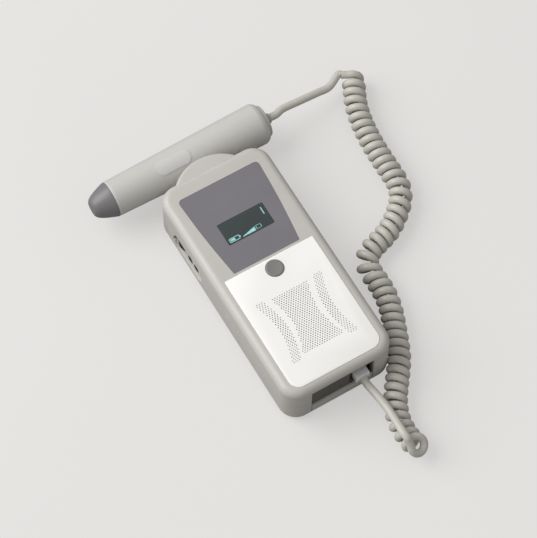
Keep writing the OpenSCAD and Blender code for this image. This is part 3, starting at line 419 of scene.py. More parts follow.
class Bench:
    """Modelling operators, called the way a modeller uses them by hand."""

    @staticmethod
    def take(piece: bpy.types.Object) -> None:
        """Selects one piece alone and makes it active."""
        bpy.ops.object.select_all(action="DESELECT")
        piece.select_set(True)
        bpy.context.view_layer.objects.active = piece

    @staticmethod
    @contextmanager
    def edit(piece: bpy.types.Object, kind: str = "EDGE") -> Iterator[bmesh.types.BMesh]:
        """Opens a piece in edit mode with nothing selected.

        Args:
            piece: The mesh object.
            kind: VERT, EDGE or FACE.

        Yields:
            The edit mesh, for selecting by place or normal.
        """
        Bench.take(piece)
        bpy.ops.object.mode_set(mode="EDIT")
        bpy.ops.mesh.select_mode(type=kind)
        bpy.ops.mesh.select_all(action="DESELECT")
        mesh = bmesh.from_edit_mesh(piece.data)
        mesh.edges.ensure_lookup_table()
        yield mesh
        bpy.ops.object.mode_set(mode="OBJECT")

    @staticmethod
    def pick(piece: bpy.types.Object, mesh: bmesh.types.BMesh, items: Sequence,
             test: Callable[[object], bool]) -> int:
        """Selects the items of an edit mesh that pass a test.

        Args:
            piece: The mesh object in edit mode.
            mesh: Its edit mesh.
            items: The vertices, edges or faces to look at.
            test: Says whether an item is wanted.

        Returns:
            How many items are selected.
        """
        count = 0
        for item in items:
            if test(item):
                item.select_set(True)
                count += 1
        mesh.select_flush_mode()
        bmesh.update_edit_mesh(piece.data)
        return count

    @staticmethod
    def settle(piece: bpy.types.Object, angle: float = 35.0) -> bpy.types.Object:
        """Puts a piece's place in its mesh and smooths it up to an angle.

        Args:
            piece: The mesh object.
            angle: Edges sharper than this stay crisp, in degrees.

        Returns:
            The same piece.
        """
        Bench.take(piece)
        bpy.ops.object.transform_apply(location=True, rotation=True, scale=True)
        bpy.ops.object.shade_smooth_by_angle(angle=math.radians(angle))
        return piece

    @staticmethod
    def block(name: str, low: Point, high: Point) -> bpy.types.Object:
        """Adds a cube that fills a box.

        Args:
            name: Name of the piece.
            low: Lowest corner in millimetres.
            high: Highest corner in millimetres.

        Returns:
            The block.
        """
        middle = [(a + b) / 2 * MM for a, b in zip(low, high)]
        size = [(b - a) * MM for a, b in zip(low, high)]
        bpy.ops.object.select_all(action="DESELECT")
        bpy.ops.mesh.primitive_cube_add(size=1, location=middle)
        piece = bpy.context.object
        piece.name = piece.data.name = name
        piece.scale = size
        bpy.ops.object.transform_apply(location=True, rotation=True, scale=True)
        return piece

    @staticmethod
    def round_edges(piece: bpy.types.Object, test: Callable[[bmesh.types.BMEdge], bool],
                    radius: float, segments: int) -> int:
        """Bevels the edges that pass a test to a round of one radius.

        Args:
            piece: The mesh object.
            test: Says whether an edge is wanted.
            radius: Radius in millimetres.
            segments: Faces across the round.

        Returns:
            How many edges were picked.
        """
        with Bench.edit(piece, "EDGE") as mesh:
            count = Bench.pick(piece, mesh, mesh.edges, test)
            if count:
                bpy.ops.mesh.bevel(offset=radius * MM, segments=segments, affect="EDGES",
                                   clamp_overlap=False)
        return count

    @staticmethod
    def upright(edge: bmesh.types.BMEdge) -> bool:
        """Whether an edge runs along Z."""
        way = edge.verts[0].co - edge.verts[1].co
        return abs(way.z) > 0.98 * way.length

    @staticmethod
    def at_z(edge: bmesh.types.BMEdge, z: float) -> bool:
        """Whether both ends of an edge lie at a height in millimetres."""
        return all(abs(v.co.z - z * MM) < NEAR for v in edge.verts)

    @staticmethod
    def crossways(edge: bmesh.types.BMEdge) -> bool:
        """Whether an edge changes its place along X."""
        return abs((edge.verts[0].co - edge.verts[1].co).x) > 10 * NEAR

    @staticmethod
    def at_one_x(edge: bmesh.types.BMEdge) -> bool:
        """Whether both ends of an edge lie at the same place along X."""
        return abs((edge.verts[0].co - edge.verts[1].co).x) < NEAR

    @staticmethod
    def slab(name: str, low: Point, high: Point, radius: float, segments: int = 6,
             edge: float = 0.0) -> bpy.types.Object:
        """Makes a slab with rounded upright edges and, if asked, a rounded top edge.

        Args:
            name: Name of the piece.
            low: Lowest corner in millimetres.
            high: Highest corner in millimetres.
            radius: Radius of the upright edges.
            segments: Faces across each round.
            edge: Radius of the round along the top edge.

        Returns:
            The slab.
        """
        piece = Bench.block(name, low, high)
        Bench.round_edges(piece, Bench.upright, radius, segments)
        if edge:
            Bench.round_edges(piece, lambda e: Bench.at_z(e, high[2]), edge, 3)
        return piece

    @staticmethod
    def rod(name: str, start: Point, axis: str, length: float, radius: float,
            sides: int = 48) -> bpy.types.Object:
        """Adds a cylinder that starts at a point and runs along an axis.

        Args:
            name: Name of the piece.
            start: Middle of its first end, in millimetres.
            axis: X, Y or Z.
            length: Length in millimetres.
            radius: Radius in millimetres.
            sides: Number of sides.

        Returns:
            The cylinder.
        """
        way = Vector(((axis == "X"), (axis == "Y"), (axis == "Z")))
        turn = {"X": (0, math.pi / 2, 0), "Y": (-math.pi / 2, 0, 0), "Z": (0, 0, 0)}[axis]
        bpy.ops.object.select_all(action="DESELECT")
        bpy.ops.mesh.primitive_cylinder_add(
            vertices=sides, radius=radius * MM, depth=length * MM, rotation=turn,
            location=(Vector(start) + way * length / 2) * MM)
        piece = bpy.context.object
        piece.name = piece.data.name = name
        bpy.ops.object.transform_apply(location=True, rotation=True, scale=True)
        return piece

    @staticmethod
    def turned(name: str, middle: tuple[float, float], stations: Sequence[tuple[float, float]],
               axis: str = "X", sides: int = 96) -> bpy.types.Object:
        """Turns a closed piece, by extruding and resizing a disc from station to station.

        Args:
            name: Name of the piece.
            middle: The axis' place in the two other directions, in millimetres.
            stations: Place along the axis and radius, in millimetres.
            axis: X or Z.
            sides: Sides of the disc.

        Returns:
            The turned piece.
        """
        place, radius = stations[0]
        along = (lambda s: (s, *middle)) if axis == "X" else (lambda s: (*middle, s))
        turn = (0, math.pi / 2, 0) if axis == "X" else (0, 0, 0)
        bpy.ops.object.select_all(action="DESELECT")
        bpy.ops.mesh.primitive_circle_add(
            vertices=sides, radius=radius * MM, fill_type="NGON", rotation=turn,
            location=Vector(along(place)) * MM)
        piece = bpy.context.object
        piece.name = piece.data.name = name
        bpy.ops.object.transform_apply(location=True, rotation=True, scale=True)
        bpy.ops.object.mode_set(mode="EDIT")
        bpy.ops.mesh.select_all(action="SELECT")
        for next_place, next_radius in stations[1:]:
            step = Vector(along(next_place)) - Vector(along(place))
            bpy.ops.mesh.extrude_region_move(TRANSFORM_OT_translate={"value": step * MM})
            grow = next_radius / radius
            size = (1, grow, grow) if axis == "X" else (grow, grow, 1)
            bpy.ops.transform.resize(value=size, center_override=Vector(along(next_place)) * MM)
            place, radius = next_place, next_radius
        bpy.ops.mesh.select_all(action="SELECT")
        bpy.ops.mesh.normals_make_consistent(inside=False)
        bpy.ops.object.mode_set(mode="OBJECT")
        return piece

    @staticmethod
    def carve(piece: bpy.types.Object, *tools: bpy.types.Object, way: str = "DIFFERENCE") -> None:
        """Cuts, joins or crosses a piece with others, which are used up.

        Args:
            piece: The mesh object that stays.
            *tools: The mesh objects that are used up.
            way: DIFFERENCE, UNION or INTERSECT.
        """
        for tool in tools:
            Bench.take(piece)
            bpy.ops.object.modifier_add(type="BOOLEAN")
            modifier = piece.modifiers[-1]
            modifier.operation = way
            modifier.solver = "EXACT"
            modifier.object = tool
            bpy.ops.object.modifier_apply(modifier=modifier.name)
            bpy.data.objects.remove(tool)

    @staticmethod
    def slice(piece: bpy.types.Object, at: Point, normal: Point) -> None:
        """Cuts a piece at a plane, keeps what lies behind it and closes the cut.

        Args:
            piece: The mesh object.
            at: A point of the plane in millimetres.
            normal: The plane's normal, towards what goes.
        """
        with Bench.edit(piece, "EDGE"):
            bpy.ops.mesh.select_all(action="SELECT")
            bpy.ops.mesh.bisect(plane_co=Vector(at) * MM, plane_no=normal, use_fill=True,
                                clear_outer=True)

    @staticmethod
    def merge(first: bpy.types.Object, *others: bpy.types.Object) -> bpy.types.Object:
        """Joins meshes into the first one without cutting.

        Args:
            first: The mesh object that stays.
            *others: The mesh objects that are used up.

        Returns:
            The first piece.
        """
        bpy.ops.object.select_all(action="DESELECT")
        for piece in (first, *others):
            piece.select_set(True)
        bpy.context.view_layer.objects.active = first
        bpy.ops.object.join()
        return first

    @staticmethod
    def copy(piece: bpy.types.Object, name: str, shift: Point) -> bpy.types.Object:
        """Copies a piece with its own mesh and shifts it.

        Args:
            piece: The mesh object.
            name: Name of the copy.
            shift: Shift in millimetres.

        Returns:
            The copy.
        """
        twin = piece.copy()
        twin.data = piece.data.copy()
        twin.name = twin.data.name = name
        bpy.context.scene.collection.objects.link(twin)
        twin.data.transform(Matrix.Translation(Vector(shift) * MM))
        return twin


def fit(piece: bpy.types.Object, finish: Finish, body: str,
        nodes: Sequence[str] = ()) -> bpy.types.Object:
    """Gives a finished piece its material, its body and what it stands for.

    Args:
        piece: The finished mesh object.
        finish: Its finish.
        body: The CAD body that it rides on.
        nodes: CAD nodes that it replaces.

    Returns:
        The same piece.
    """
    piece.data.materials.clear()
    piece.data.materials.append(finish.build())
    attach(piece, body)
    if nodes:
        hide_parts(*nodes)
    LOG.info("%s rides on %s with %s, %d faces", piece.name, body, finish.name,
             len(piece.data.polygons))
    return piece


def dress_node(name: str, finish: Finish) -> None:
    """Gives a CAD node a better material.

    Args:
        name: The node's name.
        finish: Its finish.
    """
    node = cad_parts[name]
    node.data.materials.clear()
    node.data.materials.append(finish.build())
    LOG.info("%s keeps its shape with %s", name, finish.name)


# ---------------------------------------------------------------- studio


@dataclass
class Studio:
    """Camera at the photograph's angle, pale floor and soft light.

    Attributes:
        eye: Place of the camera in millimetres.
        right: Direction to the right of the picture.
        up: Direction to the top of the picture.
        lens: Focal length for a 36 mm long side.
        floor_tint: Colour of the floor.
        floor_bounce: Share of the floor's colour that lights the unit from below.
        floor_glow: Share of the floor, as the camera sees it, that no shadow reaches.
        floor_size: Side of the floor in metres.
        lamp_place: Place of the soft lamp in metres.
        lamp_size: Side of the lamp in metres.
        lamp_watts: Power of the lamp.
        room_tint: Linear colour of the room's even light.
        room_strength: Strength of that light.
    """

    eye: Point = (-331.5, -555.8, 1377.6)
    right: Point = (0.86163, -0.50754, 0.0)
    up: Point = (0.45713, 0.77607, 0.43445)
    lens: float = 162.15
    floor_tint: Tint = field(default_factory=lambda: srgb(228, 227, 225))
    floor_bounce: float = 0.42
    floor_glow: float = 0.62
    floor_size: float = 6.0
    lamp_place: Point = (-1.65, 1.35, 1.95)
    lamp_size: float = 2.4
    lamp_watts: float = 78.0
    room_tint: Tint = (1.0, 0.99, 0.975)
    room_strength: float = 0.46

    def place_camera(self) -> None:
        """Makes the camera and makes it the scene's own."""
        data = bpy.data.cameras.new("studio_camera")
        data.lens = self.lens
        data.sensor_fit = "AUTO"
        data.sensor_width = 36.0
        data.clip_end = 20.0
        camera = bpy.data.objects.new("studio_camera", data)
        bpy.context.scene.collection.objects.link(camera)
        right, up = Vector(self.right).normalized(), Vector(self.up).normalized()
        back = right.cross(up)
        turn = Matrix((right, up, back)).transposed().to_4x4()
        camera.matrix_world = Matrix.Translation(Vector(self.eye) * MM) @ turn
        bpy.context.scene.camera = camera

    def lay_floor(self) -> None:
        """Makes the pale floor that the unit lies on."""
        bpy.ops.object.select_all(action="DESELECT")
        bpy.ops.mesh.primitive_plane_add(size=self.floor_size, location=(0, 0, -0.2 * MM))
        floor = bpy.context.object
        floor.name = "floor"
        sheet = NodeSheet("floor_paper")
        cloud = sheet.noise(scale=3.0, detail=2.0)
        tone = sheet.ramp(cloud, "Fac", shade(self.floor_tint, 0.99), shade(self.floor_tint, 1.01))
        sheet.join(tone, "Color", sheet.surface, "Base Color")
        sheet.set(Roughness=0.9, Specular_IOR_Level=0.1)
        glow = sheet.add("ShaderNodeEmission")
        glow.inputs["Strength"].default_value = 1.0
        sheet.join(tone, "Color", glow, "Color")
        seen = sheet.add("ShaderNodeMixShader")
        seen.inputs["Fac"].default_value = self.floor_glow
        sheet.join(sheet.surface, "BSDF", seen, 1)
        sheet.join(glow, "Emission", seen, 2)
        bounce = sheet.add("ShaderNodeBsdfDiffuse")
        bounce.inputs["Color"].default_value = shade(self.floor_tint, self.floor_bounce)
        rays = sheet.add("ShaderNodeLightPath")
        split = sheet.add("ShaderNodeMixShader")
        sheet.join(rays, "Is Camera Ray", split, "Fac")
        sheet.join(bounce, "BSDF", split, 1)
        sheet.join(seen, "Shader", split, 2)
        sheet.join(split, "Shader", sheet.output, "Surface")
        floor.data.materials.append(sheet.material)

    def light(self) -> None:
        """Hangs the square soft lamp, which points at the unit, and lights the room evenly."""
        data = bpy.data.lights.new("key_light", "AREA")
        data.energy = self.lamp_watts
        data.shape = "SQUARE"
        data.size = self.lamp_size
        lamp = bpy.data.objects.new("key_light", data)
        lamp.location = self.lamp_place
        lamp.rotation_euler = (-Vector(self.lamp_place)).to_track_quat("-Z", "Y").to_euler()
        bpy.context.scene.collection.objects.link(lamp)
        world = bpy.data.worlds.new("room_light")
        world.use_nodes = True
        ground = world.node_tree.nodes["Background"]
        ground.inputs["Color"].default_value = (*self.room_tint, 1.0)
        ground.inputs["Strength"].default_value = self.room_strength
        bpy.context.scene.world = world

    def build(self) -> None:
        """Makes the camera first, then the floor and the light."""
        bpy.context.scene.view_settings.view_transform = "Standard"
        self.place_camera()
        self.lay_floor()
        self.light()


# ---------------------------------------------------------------- cord


@dataclass
class ProbeCord:
    """Curly cord between the probe and the plug, with a straight lead at each end.

    The curls follow the same route and rule as in the CAD source: each faces along the
    route's chord over a few curls, so that they fan out evenly round a fold.

    Attributes:
        wire_d: Diameter of the cord.
        curl_d: Outer diameter of the curls.
        pitch: Spacing of the curls on a straight stretch.
        rings: Steps round one curl.
        fine: Finer steps from one of these to the next.
        start_phase: Place on the first curl where the wire starts, in degrees.
        fold_reach: Half the chord that a curl faces along, in route points.
        inner_gap: Room between two curls on the inside of a fold.
        least_share: Least share of the pitch that is left on the inside of a fold.
        turn_step: Distance along the route over which its turn is measured, in route points.
        curl_z: Height of the curls' middle line.
        relief_face: Where the lead leaves the probe.
        plug_face: Where the lead meets the plug.
        probe_route: Points of the lead at the probe.
        plug_route: Points of the lead at the plug.
        lying: Points of the curls' middle line on the table.
        end_rise: Points where the curls rise towards the plug.
    """

    wire_d: float = 5.1
    curl_d: float = 15.4
    pitch: float = 5.71
    rings: int = 8
    fine: int = 4
    start_phase: float = 112.5
    fold_reach: float = 1.3
    inner_gap: float = 0.3
    least_share: float = 0.35
    turn_step: float = 0.1
    curl_z: float = 7.9
    relief_face: Point = (55.6, 100.4, 21.0)
    plug_face: Point = (13.7, -83.5, 17.9)
    probe_route: tuple[Point, ...] = (
        (66.9, 102.3, 20), (80, 102.9, 17.6), (92.6, 103.7, 14.8), (102.9, 104.5, 12.6))
    plug_route: tuple[Point, ...] = (
        (14.4, -128.2, 23.6), (14.8, -123, 22.4), (15.5, -116, 20.2), (15.8, -108, 18.6),
        (15.1, -98.5, 17.9))
    lying: tuple[tuple[float, float], ...] = (
        (121.6, 110.7), (120.8, 105.3), (119.6, 100.2), (117, 95.4), (114.4, 90.6), (112.1, 85),
        (110.2, 78.5), (108.4, 70), (107.2, 61), (106.5, 51.5), (106.2, 41.5), (106.2, 31.5),
        (106, 22), (101.8, 13), (94.5, 6), (86.5, 0), (78, -4.5), (66.5, -7), (58.5, -13),
        (57.9, -22.5), (58.4, -32.5), (57.3, -42.5), (54.5, -52), (50.5, -61.5), (46.8, -70.5),
        (42.8, -79.5), (37, -87.5), (31, -95), (25, -103), (20.8, -112), (19.3, -120.5))
    end_rise: tuple[Point, ...] = (
        (19.3, -129, 8.4), (19.8, -135.4, 11.2), (20.4, -138, 16.8), (19.2, -137, 23.4))

    def __post_init__(self) -> None:
        """Puts the whole route together."""
        flat = [(x, y, self.curl_z) for x, y in self.lying]
        self.points = [Vector(p) for p in (*flat, *self.end_rise)]
        self.end = len(self.points) - 3
        self.radius = (self.curl_d - self.wire_d) / 2

    def on_route(self, u: float) -> tuple[Vector, Vector]:
        """Gives the place and direction on the route, a uniform cubic B-spline.

        Args:
            u: Place along the spline.

        Returns:
            Place and first derivative.
        """
        i = min(int(u), len(self.points) - 4)
        t = u - i
        a, b, c, d = self.points[i:i + 4]
        place = ((1 - t) ** 3 * a + (3 * t ** 3 - 6 * t * t + 4) * b
                 + (-3 * t ** 3 + 3 * t * t + 3 * t + 1) * c + t ** 3 * d) / 6
        first = (-(1 - t) ** 2 * a + (3 * t * t - 4 * t) * b
                 + (-3 * t * t + 2 * t + 1) * c + t * t * d) / 2
        return place, first

    def chord(self, u: float, reach: float) -> Vector:
        """Gives the route's chord around a place.

        Args:
            u: Place along the route.
            reach: Half its length, in route points.

        Returns:
            The chord.
        """
        low, high = max(u - reach, 0.0), min(u + reach, self.end)
        return self.on_route(high)[0] - self.on_route(low)[0]

    def facing(self, u: float) -> Vector:
        """Gives the direction that the curl at a place faces.

        Args:
            u: Place along the route.

        Returns:
            The curl's axis.
        """
        return self.chord(u, self.fold_reach).normalized()

    def steps(self) -> list[tuple[float, float]]:
        """Walks along the route, ring by ring, with less room for each on the inside of a fold.

        Returns:
            Place on the route and phase of the wire at each ring.
        """
        u, found = 0.0, []
        while u < self.end:
            found.append((u, self.start_phase - 360 * len(found) / self.rings))
            first = self.on_route(u)[1]
            ahead, behind = min(u + self.turn_step, self.end), max(u - self.turn_step, 0.0)
            turned = (self.facing(ahead) - self.facing(behind)).length
            turn = turned / self.chord(u, self.turn_step).length
            inside = turn * (self.radius + self.inner_gap)
            share = first.normalized().dot(self.facing(u)) - inside
            u += self.pitch / max(self.least_share, share) / self.rings / first.length
        return found

    def on_curl(self, u: float, phase: float) -> Vector:
        """Gives the place of the wire at one step.

        Args:
            u: Place along the route.
            phase: Angle round the curl in degrees.

        Returns:
            The point in millimetres.
        """
        along = self.facing(u)
        side = Vector((0, 0, 1)).cross(along).normalized()
        angle = math.radians(phase)
        out = math.cos(angle) * side + math.sin(angle) * along.cross(side)
        return self.on_route(u)[0] + self.radius * out

    def wire(self) -> list[Vector]:
        """Gives the middle line of the curled wire, with its two straight ends.

        Returns:
            The points in millimetres.
        """
        steps = self.steps()
        line = []
        for (u0, p0), (u1, p1) in zip(steps, steps[1:]):
            for k in range(self.fine):
                t = k / self.fine
                line.append(self.on_curl(u0 + (u1 - u0) * t, p0 + (p1 - p0) * t))
        line.append(self.on_curl(*steps[-1]))
        coarse = [self.on_curl(*step) for step in (*steps[:2], *steps[-2:])]
        first_way = (coarse[1] - coarse[0]).normalized()
        last_way = (coarse[3] - coarse[2]).normalized()
        return [line[0] - self.wire_d * first_way, line[0] - self.wire_d * 0.5 * first_way, *line,
                line[-1] + self.wire_d * 0.5 * last_way, line[-1] + self.wire_d * last_way]

    @staticmethod
    def smooth(points: Sequence[Vector], parts: int = 6) -> list[Vector]:
        """Runs a smooth line through points.

        Args:
            points: The points to pass.
            parts: Steps from one point to the next.

        Returns:
            The finer line.
        """
        padded = [2 * points[0] - points[1], *points, 2 * points[-1] - points[-2]]
        line = []
        for a, b, c, d in zip(padded, padded[1:], padded[2:], padded[3:]):
            for k in range(parts):
                t = k / parts
                line.append(0.5 * (2 * b + (c - a) * t + (2 * a - 5 * b + 4 * c - d) * t * t
                                   + (3 * b - a - 3 * c + d) * t ** 3))
        return [*line, points[-1]]

    def tube(self, name: str, line: Sequence[Vector], around: int) -> bpy.types.Object:
        """Makes a round mesh tube along a line.

        Args:
            name: Name of the piece.
            line: Middle line in millimetres.
            around: Half the sides of the tube's section.

        Returns:
            The tube.
        """
        data = bpy.data.curves.new(name, "CURVE")
        data.dimensions = "3D"
        data.bevel_depth = self.wire_d / 2 * MM
        data.bevel_resolution = around // 2 - 1
        data.use_fill_caps = True
        spline = data.splines.new("POLY")
        spline.points.add(len(line) - 1)
        for point, place in zip(spline.points, line):
            point.co = (*(place * MM), 1.0)
        piece = bpy.data.objects.new(name, data)
        bpy.context.scene.collection.objects.link(piece)
        Bench.take(piece)
        bpy.ops.object.convert(target="MESH")
        piece = bpy.context.object
        piece.name = piece.data.name = name
        return Bench.settle(piece, 60.0)

    def declare(self, piece: bpy.types.Object, node: str,
                bodies: tuple[str, str]) -> None:
        """Dresses a tube and hides the CAD node that it replaces; it is set on a body only where
        both its ends ride on the same one.
            node: The CAD node that it replaces.
            bodies: The CAD bodies that its first and last end ride on.
        """
        if bodies[0] == bodies[1]:
            fit(piece, JACKET, bodies[0], [node])
        else:
            piece.data.materials.clear()
            piece.data.materials.append(JACKET.build())
            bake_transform(piece)
            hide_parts(node)

    def build(self) -> None:
        """Makes the lead at the probe, the curls and the lead at the plug."""
        wire = self.wire()
        stub = 0.4 * self.wire_d
        start_way = (wire[1] - wire[0]).normalized()
        end_way = (wire[-1] - wire[-2]).normalized()
        face = Vector(self.relief_face)
        near = [face, face + Vector((self.wire_d, 0, 0)), *map(Vector, self.probe_route),
                wire[0] - stub * start_way, wire[0]]
        plug = Vector(self.plug_face)
        far = [wire[-1], wire[-1] + stub * end_way, *map(Vector, self.plug_route),
               plug - Vector((0, self.wire_d, 0)), plug]
        near_line, far_line = self.smooth(near), self.smooth(far)
        self.declare(self.tube("lead_at_probe", near_line, 16), "probe_lead",
                     ("probe", "case"))
        self.declare(self.tube("curls", wire, 14), "curly_cord", ("case", "plug"))
        self.declare(self.tube("lead_at_plug", far_line, 16), "plug_lead",
                     ("plug", "plug"))


# ---------------------------------------------------------------- case


@dataclass
class CaseShells:
    """Front and rear shell of the case, and the arm under the probe.

    Attributes:
        width: Width of the case.
        length: Length of the case.
        depth: Height of the case above the table.
        wall: Wall of both shells.
        corner: Radius of the corners seen from the front.
        front_edge: Radius of the edge around the display face.
        rear_edge: Radius of the edge around the rear face.
        split: Height of the parting line.
        split_gap: Half the gap at the parting line.
        past: Distance that a cutter reaches past the surface that it opens.
        pocket: Lowest and highest Y and Z of the side pocket.
        pocket_x: Place of the pocket's floor.
        pocket_round: Radius of the pocket's corners.
        pad_x: Inner and outer face of the pocket's backing.
        pad_margin: Distance that the backing reaches past the pocket.
        wheel_slot: Lowest and highest Y and Z of the volume wheel's slot.
        socket_y: Places of the two round sockets.
        socket_z: Height of the sockets.
        socket_r: Radius of their holes.
        ear_at: Middle of the ear in X and Y.
        ear_r: Radius of the ear.
        ear_top: Height of the ear.
        ear_edge: Radius of the ear's top edge.
        ear_root: Where the ear starts inside the case's end.
        ear_gap: Gap between the ear and the probe.
        arm_x: Both ends of the arm.
        arm_r: Outer radius of the arm.
        arm_edge: Radius of the arm's edges.
        arm_low: Underside of the arm's root.
        arm_reach: Where the root ends inside the arm.
        cradle_gap: Gap between the arm and the probe.
        window_seat: Height of the display window's seat.
        window_pocket: Lowest and highest X and Y of the window's pocket.
        window_view: Lowest and highest X and Y of the opening under the window.
        hole_floor: Height at which the cutters of the face's holes start.
        speaker_y: Middle of the loudspeaker.
        speaker_hole_r: Radius of the opening over the loudspeaker.
        end_half: Half the width of the opening at the socket end.
        end_y: How deep that opening is cut.
        end_top: Top of that opening.
        screw_at: Distance of the screws from the middle in X and Y.
    """

    width: float = 76.0
    length: float = 164.0
    depth: float = 38.0
    wall: float = 2.2
    corner: float = 12.0
    front_edge: float = 5.0
    rear_edge: float = 6.0
    split: float = 20.0
    split_gap: float = 0.14
    past: float = 2.0
    pocket: Span = ((24.5, 9.0), (59.5, 24.0))
    pocket_x: float = -36.6
    pocket_round: float = 7.3
    pad_x: Pair = (-36.0, -35.2)
    pad_margin: float = 2.0
    wheel_slot: Span = ((44.9, 12.8), (60.3, 16.4))
    socket_y: Pair = (41.1, 33.7)
    socket_z: float = 14.6
    socket_r: float = 3.0
    ear_at: Pair = (-2.0, 60.6)
    ear_r: float = 30.0
    ear_top: float = 36.8
    ear_edge: float = 2.4
    ear_root: float = 80.3
    ear_gap: float = 0.9
    arm_x: Pair = (-16.0, 12.0)
    arm_r: float = 16.6
    arm_edge: float = 1.0
    arm_low: float = 4.6
    arm_reach: float = 93.0
    cradle_gap: float = 0.4
    window_seat: float = 36.3
    window_pocket: Span = ((-16.35, 26.75), (16.35, 43.25))
    window_view: Span = ((-15.2, 27.9), (15.2, 42.1))
    hole_floor: float = 30.0
    speaker_y: float = -38.5
    speaker_hole_r: float = 20.5
    end_half: float = 22.0
    end_y: float = -79.6
    end_top: float = 32.2
    screw_at: Pair = (28.0, 68.0)

    def blank(self, name: str, inset: float) -> bpy.types.Object:
        """Makes the rounded block of the whole case, shrunk by an inset.

        Args:
            name: Name of the block.
            inset: Distance inside the outer surface.

        Returns:
            The block.
        """
        x, y = self.width / 2 - inset, self.length / 2 - inset
        low, high = inset, self.depth - inset
        piece = Bench.block(name, (-x, -y, low), (x, y, high))
        Bench.round_edges(piece, Bench.upright, self.corner - inset, segments=14)
        Bench.round_edges(piece, lambda e: Bench.at_z(e, high), self.front_edge - inset, segments=8)
        Bench.round_edges(piece, lambda e: Bench.at_z(e, low), self.rear_edge - inset, segments=8)
        return piece

    def hollow(self, name: str, top: bool) -> bpy.types.Object:
        """Makes one empty shell.

        Args:
            name: Name of the shell.
            top: Whether it is the front shell.

        Returns:
            The shell.
        """
        shell = self.blank(name, 0.0)
        core = self.blank("core", self.wall)
        z = self.split + (self.split_gap if top else -self.split_gap)
        Bench.slice(shell, (0, 0, z), (0, 0, -1 if top else 1))
        Bench.carve(shell, core)
        return shell

    def side_scoop(self) -> bpy.types.Object:
        """Makes the cutter of the shallow pocket around the side controls.

        Returns:
            The cutter.
        """
        low, high = self.pocket
        cutter = Bench.block("scoop", (-self.width / 2 - 1, *low), (self.pocket_x, *high))
        Bench.round_edges(cutter, Bench.crossways, self.pocket_round, segments=12)
        return cutter

    def pad(self, name: str, top: bool) -> bpy.types.Object:
        """Makes the backing of the side pocket.

        Args:
            name: Name of the block.
            top: Whether it belongs to the front shell.

        Returns:
            The block.
        """
        (y0, z0), (y1, z1) = self.pocket
        if top:
            low, high = self.split + self.split_gap, z1 + self.pad_margin
        else:
            low, high = z0 - self.pad_margin, self.split - self.split_gap
        return Bench.block(name, (self.pad_x[0], y0 - self.pad_margin, low),
                           (self.pad_x[1], y1 + self.pad_margin, high))

    def cradle_cone(self, gap: float) -> bpy.types.Object:
        """Makes the cone that follows the probe, larger by a gap.

        Args:
            gap: Distance to the probe's surface.

        Returns:
            The cone.
        """
        probe = Probe()
        ends = [(probe.joint, probe.joint_r + gap), (probe.shoulder, probe.shoulder_r + gap)]
        return Bench.turned("cone", probe.middle, ends, sides=128)

    def ear(self) -> bpy.types.Object:
        """Makes the round ear that keeps the probe in its cradle.

        Returns:
            The ear.
        """
        rim_r, rim_z = self.ear_r - self.ear_edge, self.ear_top - self.ear_edge
        stations = [(self.split + self.split_gap, self.ear_r)]
        stations += [(rim_z + self.ear_edge * math.sin(a), rim_r + self.ear_edge * math.cos(a))
                     for a in turns(0, 91, 15)]
        ear = Bench.turned("ear", self.ear_at, stations, "Z", sides=128)
        Bench.slice(ear, (0, self.ear_root, 0), (0, -1, 0))
        Bench.carve(ear, self.cradle_cone(self.ear_gap))
        return ear

    def front(self) -> bpy.types.Object:
        """Makes the front shell with its pockets and openings.

        Returns:
            The front shell.
        """
        shell = self.hollow("case_front", True)
        Bench.carve(shell, self.pad("pad_front", True), self.ear(), way="UNION")
        face, above, deep = FacePieces(), self.depth + self.past, self.hole_floor
        label = face.label_blank("label_cut", face.seat_gap, face.seat, above)
        plate = face.plate_blank("plate_cut", face.seat_gap, face.seat, above)
        low, high = self.window_pocket
        window = Bench.slab("window_cut", (*low, self.window_seat), (*high, above), radius=1.1)
        low, high = self.window_view
        view = Bench.slab("view_cut", (*low, deep), (*high, above), radius=0.8)
        button = Bench.rod("button_cut", (0, face.button_y, deep), "Z", 12, face.button_hole_r, 64)
        speaker = Bench.rod("speaker_cut", (0, self.speaker_y, deep), "Z", 12,
                            self.speaker_hole_r, 64)
        end = Bench.block("end_cut", (-self.end_half, -self.length / 2 - self.past, 10),
                          (self.end_half, self.end_y, self.end_top))
        Bench.carve(shell, plate, label, window, view, button, speaker, end, self.side_scoop())
        return Bench.settle(shell, 32.0)

    @staticmethod
    def battery_bay() -> list[bpy.types.Object]:
        """Makes the walls of the battery bay.

        Returns:
            The walls, as blocks that join the rear shell.
        """
        outer, inner, overlap = 25.3, 23.8, 0.1
        foot, floor, roof, wall = 2.0, 4.4, 22.9, 1.5
        end, shelf, deck, head = -80.0, -62.0, 5.9, -5.0
        half = inner + overlap
        boxes = [((-outer, shelf, foot), (-inner, head, roof)),
                 ((inner, shelf, foot), (outer, head, roof)),
                 ((-outer, end, foot), (-inner, shelf + overlap, deck)),
                 ((inner, end, foot), (outer, shelf + overlap, deck)),
                 ((-half, shelf, roof - wall), (half, head, roof)),
                 ((-half, shelf, floor), (half, shelf + wall, roof)),
                 ((-half, head - wall, foot), (half, head, roof)),
                 ((-half, end, floor), (half, shelf + overlap, deck))]
        return [Bench.block(f"bay_{i}", low, high) for i, (low, high) in enumerate(boxes)]

